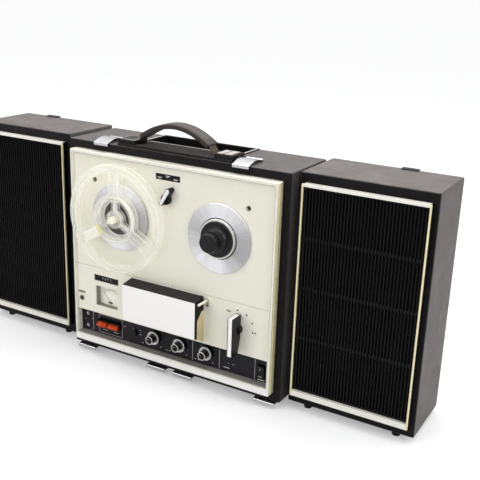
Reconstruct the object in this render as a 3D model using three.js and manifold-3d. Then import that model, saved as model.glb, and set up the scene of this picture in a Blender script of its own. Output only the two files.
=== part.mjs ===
// Portable open-reel tape recorder with its two lid halves, which are loudspeakers, standing beside it.
// Millimetres, +Z up, the front faces -Y. Inside this file the recorder's case has its front left
// bottom corner at the origin; the exported group is moved so that the middle of the footprint is there.
import * as THREE from "three";
import { mergeVertices } from "three/addons/utils/BufferGeometryUtils.js";
import Module from "manifold-3d";

const wasm = await Module();
wasm.setup();

// Clearances
const fit = 0.3;
const runFit = 0.6;
const overrun = 2;

// Recorder case
const caseWidth = 410;
const caseDepth = 118;
const caseHeight = 365;
const caseWall = 13.2;
const caseCorner = 3;
const footHeight = 11;
const footRadius = 9;
const footSideInset = 62;
const footEdgeInset = 27;

// The deck is laid out across the case on columns, counted from its left side
const deckColumns = 41;

// Front bezel
const bezelFit = 0.4;
const bezelProud = 15;
const bezelSeat = 8;
const bezelSideBar = 5;
const bezelTopBar = 7;
const bezelBottomBar = 13;

// Deck panels
const panelSink = 4;
const panelThick = 2.5;
const partingHeight = 164.7;
const stripWindow = 43.9;
const stripSink = 12;
const stripThick = 2;
const stripHidden = 6;
const lipRise = 2.4;
const lipThick = 1.2;
const screwHoleRadius = 3;
const screwHoleInset = 61.5;
const screwHoleHeight = 316.7;

// Chassis
const chassisThick = 2;
const chassisDrop = 2;
const chassisClear = 10;

// Reel drive
const reelGap = 8;
const transportShift = 2;
const reelAxisHeight = 262;
const turntableRadius = 54.9;
const turntableThick = 3.3;
const bossRadius = 31;
const bossRise = 3.2;
const grooveWidth = 1.6;
const grooveDepth = 1.4;
const spindleRadius = 3.9;
const spindleLength = 25;
const splineReach = 2.6;
const splineWidth = 2.2;
const shaftRadius = 3.5;
const driveWheelRadius = 24;
const driveWheelThick = 8;

// Reel of 178 mm, and the rubber cap on the other turntable
const reelRadius = 89;
const reelWidth = 12.7;
const flangeThick = 1.6;
const hubRadius = 36;
const hubWall = 2.2;
const coreRadius = 13;
const windowInner = 40;
const windowOuter = 78;
const spokeWidth = 19;
const hubSpokeWidth = 7;
const capFlangeRadius = 28;
const capFlangeThick = 3;
const capStepRadius = 20.5;
const capDomeRadius = 17;
const capStepDepth = 7;
const capNoseRadius = 14;
const capNoseLength = 17;
const capRound = 1.5;

// Capstan, pinch roller and heads
const capstanColumn = 24;
const capstanHeight = 128;
const capstanRadius = 2.5;
const flywheelRadius = 38;
const flywheelThick = 12;
const flywheelStep = 14;
const flywheelSetback = 4;
const pinchRadius = 8;
const pinchOpening = 5.5;
const pinchPinRadius = 2;
const pinchArmLength = 24;
const pinchArmWidth = 8;
const pinchArmThick = 2.4;
const pinchPostRadius = 3;
const pinchWidth = 12;
const headWidth = 14;
const headTall = 22;
const headGap = 12;
const headReach = 16;
const headSetback = 30;
const headBridge = 8;
const guideRadius = 1.7;

// Head housing and its lift-off cover
const coverColumn = 13.4;
const coverColumns = 14.1;
const coverFoot = 96.4;
const coverHeight = 62.4;
const coverProud = 24.2;
const coverRoofRise = 3.5;
const coverWall = 2.5;
const facePlateThick = 1.2;
const facePlateMargin = 0.8;
const baseWall = 4;
const baseReach = 17.7;
const baseDrop = 11.9;
const baseSlope = 9.5;
const baseSideRise = 29.1;
const baseBevel = 12.7;
const coverSlit = 0.8;

// Motor, belt, transformer and amplifier board
const motorColumn = 15;
const motorHeight = 116;
const motorRadius = 30;
const motorLength = 58;
const motorStandoff = 18;
const standoffRadius = 4;
const pulleyRadius = 6;
const pulleyLength = 9;
const motorShaftRadius = 2;
const beltThick = 1.2;
const beltWidth = 5;
const transformerWidth = 66;
const transformerDepth = 46;
const transformerHeight = 56;
const transformerInset = 30;
const transformerSetback = 58;
const coilProud = 9;
const boardThick = 1.6;
const boardHeight = 54;
const boardSideClear = 14;
const capacitorRadius = 8;
const capacitorLength = 22;
const capacitorCount = 4;
const potRadius = 10;
const potDepth = 20;

// Level meter and tape counter
const meterColumn = 5.8;
const meterWidth = 45.5;
const meterFoot = 96;
const meterHeight = 35.5;
const meterRecess = 10;
const meterWall = 3;
const needleLength = 25;
const needleWidth = 0.9;
const needleHubRadius = 3;
const needlePinRadius = 1;
const needlePivotRise = 5;
const needleThick = 0.9;
const needleRest = 40;
const counterColumn = 5.55;
const counterWidth = 49.2;
const counterFoot = 141.2;
const counterHeight = 9.2;
const counterSlotInset = 13;
const counterSlotMargin = 1.2;
const wheelRadius = 7.5;
const wheelAxleRadius = 1.5;
const wheelGroove = 0.8;
const counterWall = 2;
const digitWheels = 4;

// Selector, function lever and tension pin
const selectorHeight = 307.5;
const selectorBossRadius = 8.5;
const selectorProud = 14;
const selectorArm = 22;
const selectorTail = 8;
const selectorWidth = 7;
const selectorTailWidth = 4.4;
const selectorAngle = 30;
const controlShaftRadius = 3;
const leverInset = 53.4;
const leverHeight = 124;
const leverBossRadius = 8.5;
const leverBossLength = 8;
const leverWidth = 9.2;
const leverProud = 25.5;
const leverArm = 24;
const leverTail = 40;
const leverHeel = 12;
const leverUndercut = 7;
const pinColumn = 28;
const pinHeight = 156;
const pinRadius = 2.4;
const pinReach = 24;
const pinArmLength = 26;
const pinArmWidth = 7;
const pinArmThick = 2;
const pinSlotDrop = 7;

// Controls on the strip
const knobColumn = 17.7;
const knobColumns = 5.1;
const knobCount = 3;
const knobHeight = 64.5;
const ringRadius = 11.5;
const ringProud = 9;
const ringSkirt = 4;
const ringShoulder = 9.2;
const sleeveRadius = 4.4;
const stemRadius = 2.3;
const innerKnobRadius = 7.1;
const innerKnobLength = 12.6;
const keyColumn = 5.87;
const keyWidth = 22.8;
const keyFoot = 58.5;
const keyHeight = 11;
const keyNose = 4;
const keyReach = 12;
const keyAxleRadius = 1.5;
const keyAxleDepth = 6;
const keyAxleHeight = 64;
const keyTravelRoom = 3;
const earThick = 2.4;
const earReach = 4;
const switchColumn = 13.6;
const switchFoot = 57;
const switchCapWidth = 6;
const switchCapHeight = 7;
const switchProud = 5;
const switchTravel = 8;
const switchStemWidth = 2.4;
const switchBackWidth = 9;
const switchBackThick = 1.5;
const rockerInset = 14.4;
const rockerHeight = 58;
const rockerWidth = 12;
const rockerTall = 21;
const rockerProud = 4.5;
const rockerDish = 1.5;
const rockerAngle = 8;
const rockerFrame = 1.6;
const rockerDepth = 7;
const jackPlateWidth = 25;
const micJackInset = 13.4;
const micJackLow = 49;
const micJackPitch = 22;
const micBarrelRadius = 5;
const micBoreRadius = 3.2;
const micBoreDepth = 14;
const micBodyDepth = 18;
const micBodyMargin = 2.5;
const monitorInset = 8.2;
const monitorHeight = 102;
const monitorBarrelRadius = 4;
const monitorBoreRadius = 1.9;
const monitorProud = 0.9;

// Lid clips, top latches, handle and jack well
const clipColumns = [3.05, 17.85, 23.1, 38.45];
const clipWidth = 38;
const clipThick = 2.1;
const clipReach = 7;
const clipBite = 16;
const clipHook = 5.5;
const latchLeftGap = 15.5;
const latchRightGap = 4;
const latchWidth = 28;
const latchBack = 38;
const latchOverhang = 5;
const latchRise = 4.5;
const latchThick = 1.6;
const latchDrop = 2.2;
const latchLip = 3;
const latchKnuckle = 2.2;
const plinthWidth = 211;
const plinthDepth = 45;
const plinthFront = 1;
const plinthThick = 3.4;
const bracketWidth = 32;
const bracketDepth = 35;
const bracketHeight = 10;
const bracketSetback = 2;
const bracketWall = 3;
const bandSlotHeight = 4.2;
const handleRise = 43.5;
const handleClear = 11.5;
const handleSag = 22.5;
const handleOffset = -3;
const gripWidth = 28;
const gripThick = 7.5;
const bandWidth = 18;
const bandThick = 1.6;
const bandDropRun = 9;
const bandFlat = 19;
const bandHeight = 6.2;
const archSteps = 20;
const wellOffset = 90;
const wellWidth = 177;
const wellFront = 52;
const wellDepth = 60;
const wellSink = 30;
const wellWall = 2;
const wellRim = 4;
const wellRimThick = 1.4;
const socketPlateWidth = 27;
const socketPlateDepth = 40;
const socketPlateRise = 18;
const socketCount = 4;
const socketRadius = 6;
const socketRise = 5;

// Back cover
const coverPanelThick = 4;
const coverPanelInset = 0.4;
const ventCount = 9;
const ventWidth = 4;
const ventHeight = 60;
const ventPitch = 12;
const ventHeightAt = 250;

// Loudspeaker lid halves
const speakerWidth = 204;
const speakerDepth = 113;
const speakerHeight = 367;
const speakerFoot = 9;
const speakerFootRadius = 7;
const speakerFootSideInset = 30;
const speakerFootEdgeInset = 12.5;
const speakerWall = 10;
const chamberDepth = 50;
const dividerThick = 6;
const trimSideInset = 8;
const trimTopInset = 14.7;
const trimBottomInset = 17;
const trimProud = 12;
const trimFin = 2.2;
const trimTopBar = 4;
const trimBottomBar = 9;
const grilleSink = 4.5;
const grilleThick = 3;
const slatPitch = 5;
const slatWidth = 2.4;
const grilleEdge = 3;
const railHeights = [113, 193, 270];
const railTall = 5;
const railThick = 1.6;
const railEnd = 10;
const driverHeight = 152;
const driverRadius = 76;
const driverHoleRadius = 69;
const driverFlange = 2.6;
const driverSeat = 3.2;
const coneDepth = 18;
const coneThroat = 18;
const dustCapRise = 7;
const basketDepth = 26;
const magnetRadius = 40;
const magnetThick = 14;
const rightSpeakerGap = 3.5;
const rightSpeakerBack = 20.5;
const leftSpeakerGap = 19.6;
const leftSpeakerBack = 24;

// Facets of round pieces
const coarse = 12;
const medium = 20;
const smooth = 32;
const arcSteps = 4;
const cornerSteps = 2;

// Places that follow from the sizes
const caseMiddle = caseWidth / 2;
const column = caseWidth / deckColumns;
const caseFloor = footHeight;
const caseTop = caseFloor + caseHeight;
const innerLeft = caseWall;
const innerRight = caseWidth - caseWall;
const innerFloor = caseFloor + caseWall;
const innerRoof = caseTop - caseWall;
const bezelLeft = innerLeft + bezelFit;
const bezelRight = innerRight - bezelFit;
const bezelFloor = innerFloor + bezelFit;
const bezelRoof = innerRoof - bezelFit;
const bezelFront = -bezelProud;
const openLeft = bezelLeft + bezelSideBar;
const openRight = bezelRight - bezelSideBar;
const openFloor = bezelFloor + bezelBottomBar;
const openRoof = bezelRoof - bezelTopBar;
const panelFront = bezelFront + panelSink;
const panelBack = panelFront + panelThick;
const panelFoot = openFloor + stripWindow;
const stripFront = bezelFront + stripSink;
const stripBack = stripFront + stripThick;
const chassisFront = bezelSeat + fit;
const chassisBack = chassisFront + chassisThick;
const chassisFoot = panelFoot + chassisClear;
const chassisRoof = bezelRoof - chassisDrop;
const reelPitch = reelRadius * 2 + reelGap;
const supplyAxis = caseMiddle + transportShift - reelPitch / 2;
const takeupAxis = supplyAxis + reelPitch;
const tableBack = panelFront - runFit;
const tableFront = tableBack - turntableThick;
const tableBoss = tableFront - bossRise;
const reelBack = tableBoss - fit;
const beltMiddle = chassisBack + flywheelSetback + flywheelThick / 2;
const motorAxis = motorColumn * column;
const capstanAxis = capstanColumn * column;
const pinchAxis = capstanAxis + capstanRadius + pinchRadius + pinchOpening;
const pinchPivotHeight = capstanHeight - pinchArmLength;
const coverLeft = coverColumn * column;
const coverRight = coverLeft + coverColumns * column;
const coverFront = panelFront - coverProud;
const coverRoof = coverFoot + coverHeight;
const baseFront = panelFront - baseReach;
const baseFoot = coverFoot - baseDrop;
const baseBoundary = coverFoot + baseSideRise;
const headOpenLeft = coverLeft + baseWall * 4;
const headOpenRight = pinchAxis + pinchArmWidth + overrun;
const headOpenFloor = coverFoot + fit * 4;
const headOpenRoof = baseBoundary + baseBevel + baseWall * 2;
const selectorAxis = caseMiddle;
const leverAxis = openRight - leverInset;
const pinAxis = pinColumn * column;
const meterLeft = meterColumn * column;
const counterLeft = counterColumn * column;
const monitorAxis = openLeft + monitorInset;
const jackPlateLeft = openLeft + fit;
const jackPlateRight = jackPlateLeft + jackPlateWidth;
const micJackAxis = openLeft + micJackInset;
const keyLeft = keyColumn * column;
const switchAxis = switchColumn * column;
const knobFirst = knobColumn * column;
const knobPitch = knobColumns * column;
const rockerAxis = openRight - rockerInset;
const plinthLeft = caseMiddle - plinthWidth / 2;
const plinthRight = caseMiddle + plinthWidth / 2;
const handleHalf = plinthWidth / 2 - bracketWidth - handleClear;
const wellLeft = caseMiddle - wellOffset;
const speakerFaces = speakerWidth - trimSideInset;

// Materials
function paint(color, roughness, metalness = 0) {
  return new THREE.MeshStandardMaterial({ color, roughness, metalness });
}

const finish = {
  vinyl: paint(0x17171a, 0.6),
  ivory: paint(0xe6e3d2, 0.45),
  white: paint(0xf1efe8, 0.4),
  blackPanel: paint(0x1b1a1c, 0.5),
  lip: paint(0x8f8b84, 0.4, 0.7),
  steel: paint(0x9ea1a3, 0.4, 0.9),
  chrome: paint(0xdedfe2, 0.15, 1),
  aluminium: paint(0xd5d6da, 0.3, 1),
  rubber: paint(0x161516, 0.7),
  clearPlastic: paint(0xe9e6d6, 0.15),
  cream: paint(0xe5ddbf, 0.45),
  blackPlastic: paint(0x141414, 0.35),
  orange: paint(0xd64a1e, 0.4),
  grip: paint(0x4a4440, 0.6),
  copper: paint(0xa0623a, 0.5, 0.6),
  board: paint(0x9c7b45, 0.6),
  cone: paint(0x2a2927, 0.85),
};

// Solids: joining and cutting closed meshes
function toSolid(geometry) {
  const flat = geometry.index ? geometry.toNonIndexed() : geometry.clone();
  const bare = new THREE.BufferGeometry().setAttribute("position", flat.getAttribute("position"));
  const merged = mergeVertices(bare);
  const index = merged.index.array;
  const corners = [];
  for (let i = 0; i < index.length; i += 3) {
    const [a, b, c] = [index[i], index[i + 1], index[i + 2]];
    if (a !== b && b !== c && a !== c) corners.push(a, b, c);
  }
  return new wasm.Manifold(
    new wasm.Mesh({
      numProp: 3,
      vertProperties: new Float32Array(merged.attributes.position.array),
      triVerts: new Uint32Array(corners),
    }),
  );
}

function toGeometry(solid) {
  const mesh = solid.getMesh();
  const geometry = new THREE.BufferGeometry();
  geometry.setAttribute("position", new THREE.BufferAttribute(mesh.vertProperties, 3));
  geometry.setIndex(new THREE.BufferAttribute(mesh.triVerts, 1));
  geometry.computeVertexNormals();
  return geometry;
}

function joined(first, ...others) {
  return toGeometry(others.reduce((whole, next) => whole.add(toSolid(next)), toSolid(first)));
}

function cut(body, ...tools) {
  return toGeometry(tools.reduce((rest, tool) => rest.subtract(toSolid(tool)), toSolid(body)));
}

// Basic shapes. A block is given by its two faces along each axis.
function block(x0, x1, y0, y1, z0, z1) {
  const box = new THREE.BoxGeometry(x1 - x0, y1 - y0, z1 - z0);
  return box.translate((x0 + x1) / 2, (y0 + y1) / 2, (z0 + z1) / 2);
}

// A rod along Y between two depths, round the axis at x, z.
function rod(x, z, radius, y0, y1, sides = coarse) {
  return new THREE.CylinderGeometry(radius, radius, y1 - y0, sides).translate(x, (y0 + y1) / 2, z);
}

// A rod along X, round the axis at y, z.
function crossRod(y, z, radius, x0, x1, sides = coarse) {
  const bar = new THREE.CylinderGeometry(radius, radius, x1 - x0, sides).rotateZ(Math.PI / 2);
  return bar.translate((x0 + x1) / 2, y, z);
}

// A rod along Z, round the axis at x, y.
function post(x, y, radius, z0, z1, sides = coarse) {
  const bar = new THREE.CylinderGeometry(radius, radius, z1 - z0, sides).rotateX(Math.PI / 2);
  return bar.translate(x, y, (z0 + z1) / 2);
}

// A turned piece round an axis along Y: its profile is a list of radius and depth pairs.
function turned(profile, x, z, sides = medium) {
  const area = profile.reduce((sum, [r, y], i) => {
    const [r2, y2] = profile[(i + 1) % profile.length];
    return sum + r * y2 - r2 * y;
  }, 0);
  const ordered = area > 0 ? profile : [...profile].reverse();
  const points = ordered.map(([r, y]) => new THREE.Vector2(r, y));
  return new THREE.LatheGeometry(points, sides).translate(x, 0, z);
}

// The same with a bore through it, so the profile closes on itself.
function turnedRing(profile, x, z, sides = medium) {
  return turned([...profile, profile[0]], x, z, sides);
}

function outline(points) {
  return new THREE.Shape(points.map(([a, b]) => new THREE.Vector2(a, b)));
}

function rectangle(a0, a1, b0, b1) {
  return outline([[a0, b0], [a1, b0], [a1, b1], [a0, b1]]);
}

function roundedRectangle(a0, a1, b0, b1, radius) {
  const shape = new THREE.Shape();
  shape.absarc(a1 - radius, b0 + radius, radius, -Math.PI / 2, 0);
  shape.absarc(a1 - radius, b1 - radius, radius, 0, Math.PI / 2);
  shape.absarc(a0 + radius, b1 - radius, radius, Math.PI / 2, Math.PI);
  shape.absarc(a0 + radius, b0 + radius, radius, Math.PI, Math.PI * 1.5);
  return shape;
}

function circle(x, z, radius, sides = coarse) {
  const corners = [];
  for (let i = 0; i < sides; i++) {
    const angle = (i * Math.PI * 2) / sides;
    corners.push([x + radius * Math.cos(angle), z + radius * Math.sin(angle)]);
  }
  return outline(corners);
}

function extruded(shape, depth, curveSegments) {
  return new THREE.ExtrudeGeometry(shape, { depth, curveSegments, bevelEnabled: false });
}

// A slab: an outline in X and Z, from the depth back towards the front.
function slab(shape, back, thick, segments = arcSteps) {
  return extruded(shape, thick, segments).rotateX(Math.PI / 2).translate(0, back, 0);
}

// The same with holes through it.
function plate(shape, back, thick, holes = [], segments = arcSteps) {
  const body = slab(shape, back, thick, segments);
  return cut(body, ...holes.map((hole) => slab(hole, back + overrun, thick + overrun * 2, segments)));
}

// A bar along X whose section is an outline in Y and Z.
function bar(shape, x0, x1, segments = arcSteps) {
  const axes = new THREE.Matrix4().makeBasis(
    new THREE.Vector3(0, 1, 0),
    new THREE.Vector3(0, 0, 1),
    new THREE.Vector3(1, 0, 0),
  );
  return extruded(shape, x1 - x0, segments).applyMatrix4(axes).translate(x0, 0, 0);
}

function piece(parent, name, geometry, material) {
  const mesh = new THREE.Mesh(geometry, material);
  mesh.name = name;
  parent.add(mesh);
}

// Case, its feet, and the opening in its top for the jack well
function caseShell() {
  const wall = roundedRectangle(0, caseWidth, caseFloor, caseTop, caseCorner);
  const opening = rectangle(innerLeft, innerRight, innerFloor, innerRoof);
  const ring = plate(wall, caseDepth, caseDepth, [opening], cornerSteps);
  const feet = [];
  for (const x of [footSideInset, caseWidth - footSideInset]) {
    for (const y of [footEdgeInset, caseDepth - footEdgeInset]) {
      feet.push(post(x, y, footRadius, 0, caseFloor + overrun));
    }
  }
  const well = block(
    wellLeft,
    wellLeft + wellWidth,
    wellFront,
    wellFront + wellDepth,
    innerRoof - overrun,
    caseTop + overrun,
  );
  return cut(joined(ring, ...feet), well);
}

function backCover() {
  const slots = [];
  const firstVent = caseMiddle - (ventPitch * (ventCount - 1)) / 2;
  for (let i = 0; i < ventCount; i++) {
    const x = firstVent + i * ventPitch;
    slots.push(rectangle(x - ventWidth / 2, x + ventWidth / 2, ventHeightAt, ventHeightAt + ventHeight));
  }
  const sheet = rectangle(bezelLeft, bezelRight, bezelFloor, bezelRoof);
  return plate(sheet, caseDepth - coverPanelInset, coverPanelThick, slots);
}

function frontBezel() {
  const frame = rectangle(bezelLeft, bezelRight, bezelFloor, bezelRoof);
  const opening = rectangle(openLeft, openRight, openFloor, openRoof);
  return plate(frame, bezelSeat, bezelProud + bezelSeat, [opening]);
}

function upperDeckPlate() {
  const sheet = rectangle(openLeft + fit, openRight - fit, partingHeight + fit, openRoof - fit);
  return plate(sheet, panelBack, panelThick, [
    circle(supplyAxis, reelAxisHeight, shaftRadius + fit),
    circle(takeupAxis, reelAxisHeight, shaftRadius + fit),
    circle(selectorAxis, selectorHeight, controlShaftRadius + fit),
    circle(screwHoleInset, screwHoleHeight, screwHoleRadius),
    circle(caseWidth - screwHoleInset, screwHoleHeight, screwHoleRadius),
  ]);
}

// Lower panel with the cheeks and floor of the head housing moulded on it
function lowerPanel() {
  const sheet = rectangle(openLeft + fit, openRight - fit, panelFoot, partingHeight - fit);
  const slotReach = pinRadius + fit * 4;
  const slotFoot = pinHeight - pinSlotDrop - slotReach;
  const panel = plate(sheet, panelBack, panelThick, [
    rectangle(meterLeft, meterLeft + meterWidth, meterFoot, meterFoot + meterHeight),
    rectangle(counterLeft, counterLeft + counterWidth, counterFoot, counterFoot + counterHeight),
    circle(monitorAxis, monitorHeight, monitorBarrelRadius + fit),
    circle(leverAxis, leverHeight, controlShaftRadius + fit),
    rectangle(headOpenLeft, headOpenRight, headOpenFloor, headOpenRoof),
    rectangle(pinAxis - slotReach, pinAxis + slotReach, slotFoot, pinHeight + slotReach),
  ]);
  const hemFront = panelBack - panelThick / 2;
  const hemTop = panelFoot + panelThick;
  const hem = block(openLeft + fit, openRight - fit, hemFront, stripFront - fit, panelFoot, hemTop);
  const seated = panelFront + panelThick / 2;
  const cheek = [
    [seated, baseFoot],
    [baseFront, baseFoot + baseSlope],
    [baseFront, baseBoundary],
    [baseFront + baseBevel, baseBoundary + baseBevel],
    [seated, baseBoundary + baseBevel],
  ];
  const sill = [
    [seated, baseFoot],
    [baseFront, baseFoot + baseSlope],
    [baseFront, coverFoot],
    [seated, coverFoot],
  ];
  return joined(
    panel,
    hem,
    bar(outline(cheek), coverLeft, coverLeft + baseWall),
    bar(outline(cheek), coverRight - baseWall, coverRight),
    bar(outline(sill), coverLeft, coverRight),
  );
}

// Black strip with the ears and axle of the record keys and the frame of the power rocker behind it
function controlStrip() {
  const keysRight = keyLeft + keyWidth * 2 + fit;
  const slotWidth = switchStemWidth + fit * 2;
  const switchMiddle = switchFoot + switchCapHeight / 2;
  const holes = [
    rectangle(keyLeft - fit, keysRight + fit, keyFoot - keyTravelRoom, keyFoot + keyHeight + fit * 3),
    rectangle(
      switchAxis - slotWidth / 2,
      switchAxis + slotWidth / 2,
      switchMiddle - switchStemWidth,
      switchMiddle + switchStemWidth + switchTravel,
    ),
    rectangle(
      rockerAxis - rockerWidth / 2 - fit,
      rockerAxis + rockerWidth / 2 + fit,
      rockerHeight - rockerTall / 2 - fit * 3,
      rockerHeight + rockerTall / 2 + fit * 3,
    ),
  ];
  for (let i = 0; i < knobCount; i++) {
    holes.push(circle(knobFirst + i * knobPitch, knobHeight, sleeveRadius + fit));
  }
  const sheet = rectangle(jackPlateRight + fit, openRight - fit, openFloor + fit, panelFoot + stripHidden);
  const rooted = stripBack - stripThick / 2;
  const earLeft = keyLeft - fit * 2 - earThick;
  const earRight = keysRight + fit * 2;
  const ear = (x) => {
    const back = keyAxleDepth + earReach;
    return block(x, x + earThick, rooted, back, keyAxleHeight - earReach, keyAxleHeight + earReach);
  };
  const frameSide = (x) => {
    const half = rockerTall / 2;
    const back = stripBack + rockerDepth;
    return block(x, x + rockerFrame, rooted, back, rockerHeight - half, rockerHeight + half);
  };
  const axleLeft = earLeft + earThick / 2;
  const axleRight = earRight + earThick / 2;
  return joined(
    plate(sheet, stripBack, stripThick, holes),
    ear(earLeft),
    ear(earRight),
    crossRod(keyAxleDepth, keyAxleHeight, keyAxleRadius, axleLeft, axleRight, coarse / 2),
    frameSide(rockerAxis - rockerWidth / 2 - fit - rockerFrame),
    frameSide(rockerAxis + rockerWidth / 2 + fit),
  );
}

// Brushed lip on the bottom bar, rising towards the strip
function sillLip() {
  const front = bezelFront + fit;
  const back = stripFront - fit;
  const foot = openFloor + fit;
  const section = outline([[front, foot], [back, foot], [back, foot + lipRise], [front, foot + lipThick]]);
  return bar(section, openLeft + fit, openRight - fit);
}

function chassisPlate() {
  const sheet = rectangle(bezelLeft, bezelRight, chassisFoot, chassisRoof);
  return plate(sheet, chassisBack, chassisThick, [
    circle(supplyAxis, reelAxisHeight, shaftRadius + fit),
    circle(takeupAxis, reelAxisHeight, shaftRadius + fit),
    circle(selectorAxis, selectorHeight, controlShaftRadius + fit),
    circle(leverAxis, leverHeight, controlShaftRadius + fit),
    circle(capstanAxis, capstanHeight, capstanRadius + fit),
    circle(pinchAxis, pinchPivotHeight, pinchPostRadius + fit),
    circle(pinAxis + pinArmLength, pinHeight, controlShaftRadius + fit),
    circle(motorAxis, motorHeight, pulleyRadius + fit),
  ]);
}

// Turntable, its shaft with the drive wheel behind the deck, and its three-splined spindle
function turntable(x) {
  const wheelFront = panelBack + runFit;
  const wheelBack = wheelFront + driveWheelThick;
  const profile = [
    [0, tableBoss],
    [bossRadius, tableBoss],
    [bossRadius, tableFront + grooveDepth],
    [bossRadius + grooveWidth, tableFront + grooveDepth],
    [bossRadius + grooveWidth, tableFront],
    [turntableRadius - runFit, tableFront],
    [turntableRadius, tableFront + runFit],
    [turntableRadius, tableBack],
    [shaftRadius, tableBack],
    [shaftRadius, wheelFront],
    [driveWheelRadius, wheelFront],
    [driveWheelRadius, wheelBack],
    [shaftRadius, wheelBack],
    [shaftRadius, chassisBack + shaftRadius],
    [0, chassisBack + shaftRadius],
  ];
  const tip = tableBoss - spindleLength;
  const root = tableBoss + bossRise;
  const half = splineWidth / 2;
  const spindle = rod(x, reelAxisHeight, spindleRadius, tip, root);
  const splines = [];
  for (let i = 0; i < 3; i++) {
    const fin = block(-half, half, tip, root, 0, spindleRadius + splineReach);
    splines.push(fin.rotateY((i * Math.PI * 2) / 3).translate(x, 0, reelAxisHeight));
  }
  return joined(turned(profile, x, reelAxisHeight, smooth), spindle, ...splines);
}

// One window of a reel flange, between two spokes with parallel sides
function reelWindow(inner, outer, half, middle) {
  const halfTurn = Math.PI / 3;
  const atOuter = halfTurn - Math.asin(half / outer);
  const atInner = halfTurn - Math.asin(half / inner);
  const path = new THREE.Shape();
  path.absarc(0, 0, outer, middle - atOuter, middle + atOuter, false);
  path.absarc(0, 0, inner, middle + atInner, middle - atInner, true);
  path.closePath();
  return path;
}

function reelFlange(back) {
  const disc = circle(0, 0, reelRadius, smooth);
  const keyway = spindleRadius + splineReach + fit;
  const holes = [circle(0, 0, keyway)];
  for (let i = 0; i < 3; i++) {
    const middle = Math.PI / 2 + Math.PI / 3 + (i * Math.PI * 2) / 3;
    holes.push(reelWindow(windowInner, windowOuter, spokeWidth / 2, middle));
    holes.push(reelWindow(coreRadius + hubWall, hubRadius - hubWall * 2, hubSpokeWidth / 2, middle));
  }
  return plate(disc, back, flangeThick, holes);
}

function supplyReel() {
  const front = reelBack - reelWidth;
  const inner = reelBack - flangeThick / 2;
  const outer = front + flangeThick / 2;
  const bore = hubRadius - hubWall;
  const hub = turnedRing([[bore, outer], [hubRadius, outer], [hubRadius, inner], [bore, inner]], 0, 0);
  const keyway = spindleRadius + splineReach + fit;
  const core = turnedRing([[keyway, outer], [coreRadius, outer], [coreRadius, inner], [keyway, inner]], 0, 0);
  const reel = joined(reelFlange(reelBack), reelFlange(front + flangeThick), hub, core);
  return reel.translate(supplyAxis, 0, reelAxisHeight);
}

function takeupCap() {
  const back = tableBoss - fit;
  const flangeFront = back - capFlangeThick;
  const stepFront = flangeFront - capStepDepth;
  const noseFront = stepFront - capNoseLength;
  const bore = spindleRadius + splineReach + fit;
  const boreEnd = tableBoss - spindleLength - fit * 2;
  const profile = [
    [0, noseFront],
    [capNoseRadius - capRound, noseFront],
    [capNoseRadius, noseFront + capRound],
    [capNoseRadius, stepFront],
    [capDomeRadius, stepFront],
    [capStepRadius, flangeFront - capRound],
    [capStepRadius, flangeFront],
    [capFlangeRadius - capRound, flangeFront],
    [capFlangeRadius, flangeFront + capRound],
    [capFlangeRadius, back],
    [bore, back],
    [bore, boreEnd],
    [0, boreEnd],
  ];
  return turned(profile, takeupAxis, reelAxisHeight, medium);
}

// Capstan shaft and flywheel in one turned piece, the flywheel stepped at its hub
function capstanFlywheel() {
  const tip = coverFront + coverWall + runFit * 3;
  const front = chassisBack + flywheelSetback;
  const back = front + flywheelThick;
  const profile = [
    [0, tip],
    [capstanRadius, tip],
    [capstanRadius, front],
    [flywheelStep, front],
    [flywheelStep, front + fit],
    [flywheelRadius, front + fit],
    [flywheelRadius, back],
    [flywheelStep, back],
    [flywheelStep, back + flywheelThick / 4],
    [0, back + flywheelThick / 4],
  ];
  return turned(profile, capstanAxis, capstanHeight);
}

function pinchArm() {
  const front = panelFront - pinchArmThick - runFit * 2;
  const back = front + pinchArmThick;
  const half = pinchArmWidth / 2;
  const link = new THREE.Shape();
  link.absarc(pinchAxis, capstanHeight, half, 0, Math.PI);
  link.absarc(pinchAxis, pinchPivotHeight, half, Math.PI, Math.PI * 2);
  return joined(
    plate(link, back, pinchArmThick),
    rod(pinchAxis, pinchPivotHeight, pinchPostRadius, front + pinchArmThick / 2, chassisBack + pinchArmThick),
    rod(pinchAxis, capstanHeight, pinchPinRadius, front - pinchWidth - runFit, front + pinchArmThick / 2),
  );
}

function pinchRoller() {
  const back = panelFront - pinchArmThick - runFit * 2 - fit;
  const bore = pinchPinRadius + fit;
  const front = back - pinchWidth;
  const profile = [[bore, front], [pinchRadius, front], [pinchRadius, back], [bore, back]];
  return turnedRing(profile, pinchAxis, capstanHeight);
}

// Head bridge standing on the chassis, with the erase head, the record and playback head and a guide
function headStack() {
  const right = capstanAxis - capstanRadius - headSetback + headWidth;
  const playLeft = right - headWidth;
  const eraseLeft = playLeft - headGap - headWidth;
  const foot = capstanHeight - headTall / 2;
  const seat = panelFront - runFit;
  const back = chassisFront - fit;
  const front = seat - headReach;
  const step = headBridge / 4;
  const nose = outline([
    [seat + fit, foot + step],
    [front + step, foot + step],
    [front, capstanHeight],
    [front + step, foot + headTall - step],
    [seat + fit, foot + headTall - step],
  ]);
  return joined(
    block(eraseLeft - headBridge, right + headBridge, seat, back, foot, foot + headTall),
    bar(nose, eraseLeft, eraseLeft + headWidth),
    bar(nose, playLeft, right),
    rod(eraseLeft + headWidth + headGap / 2, capstanHeight, guideRadius, front, seat + fit),
  );
}

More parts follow.
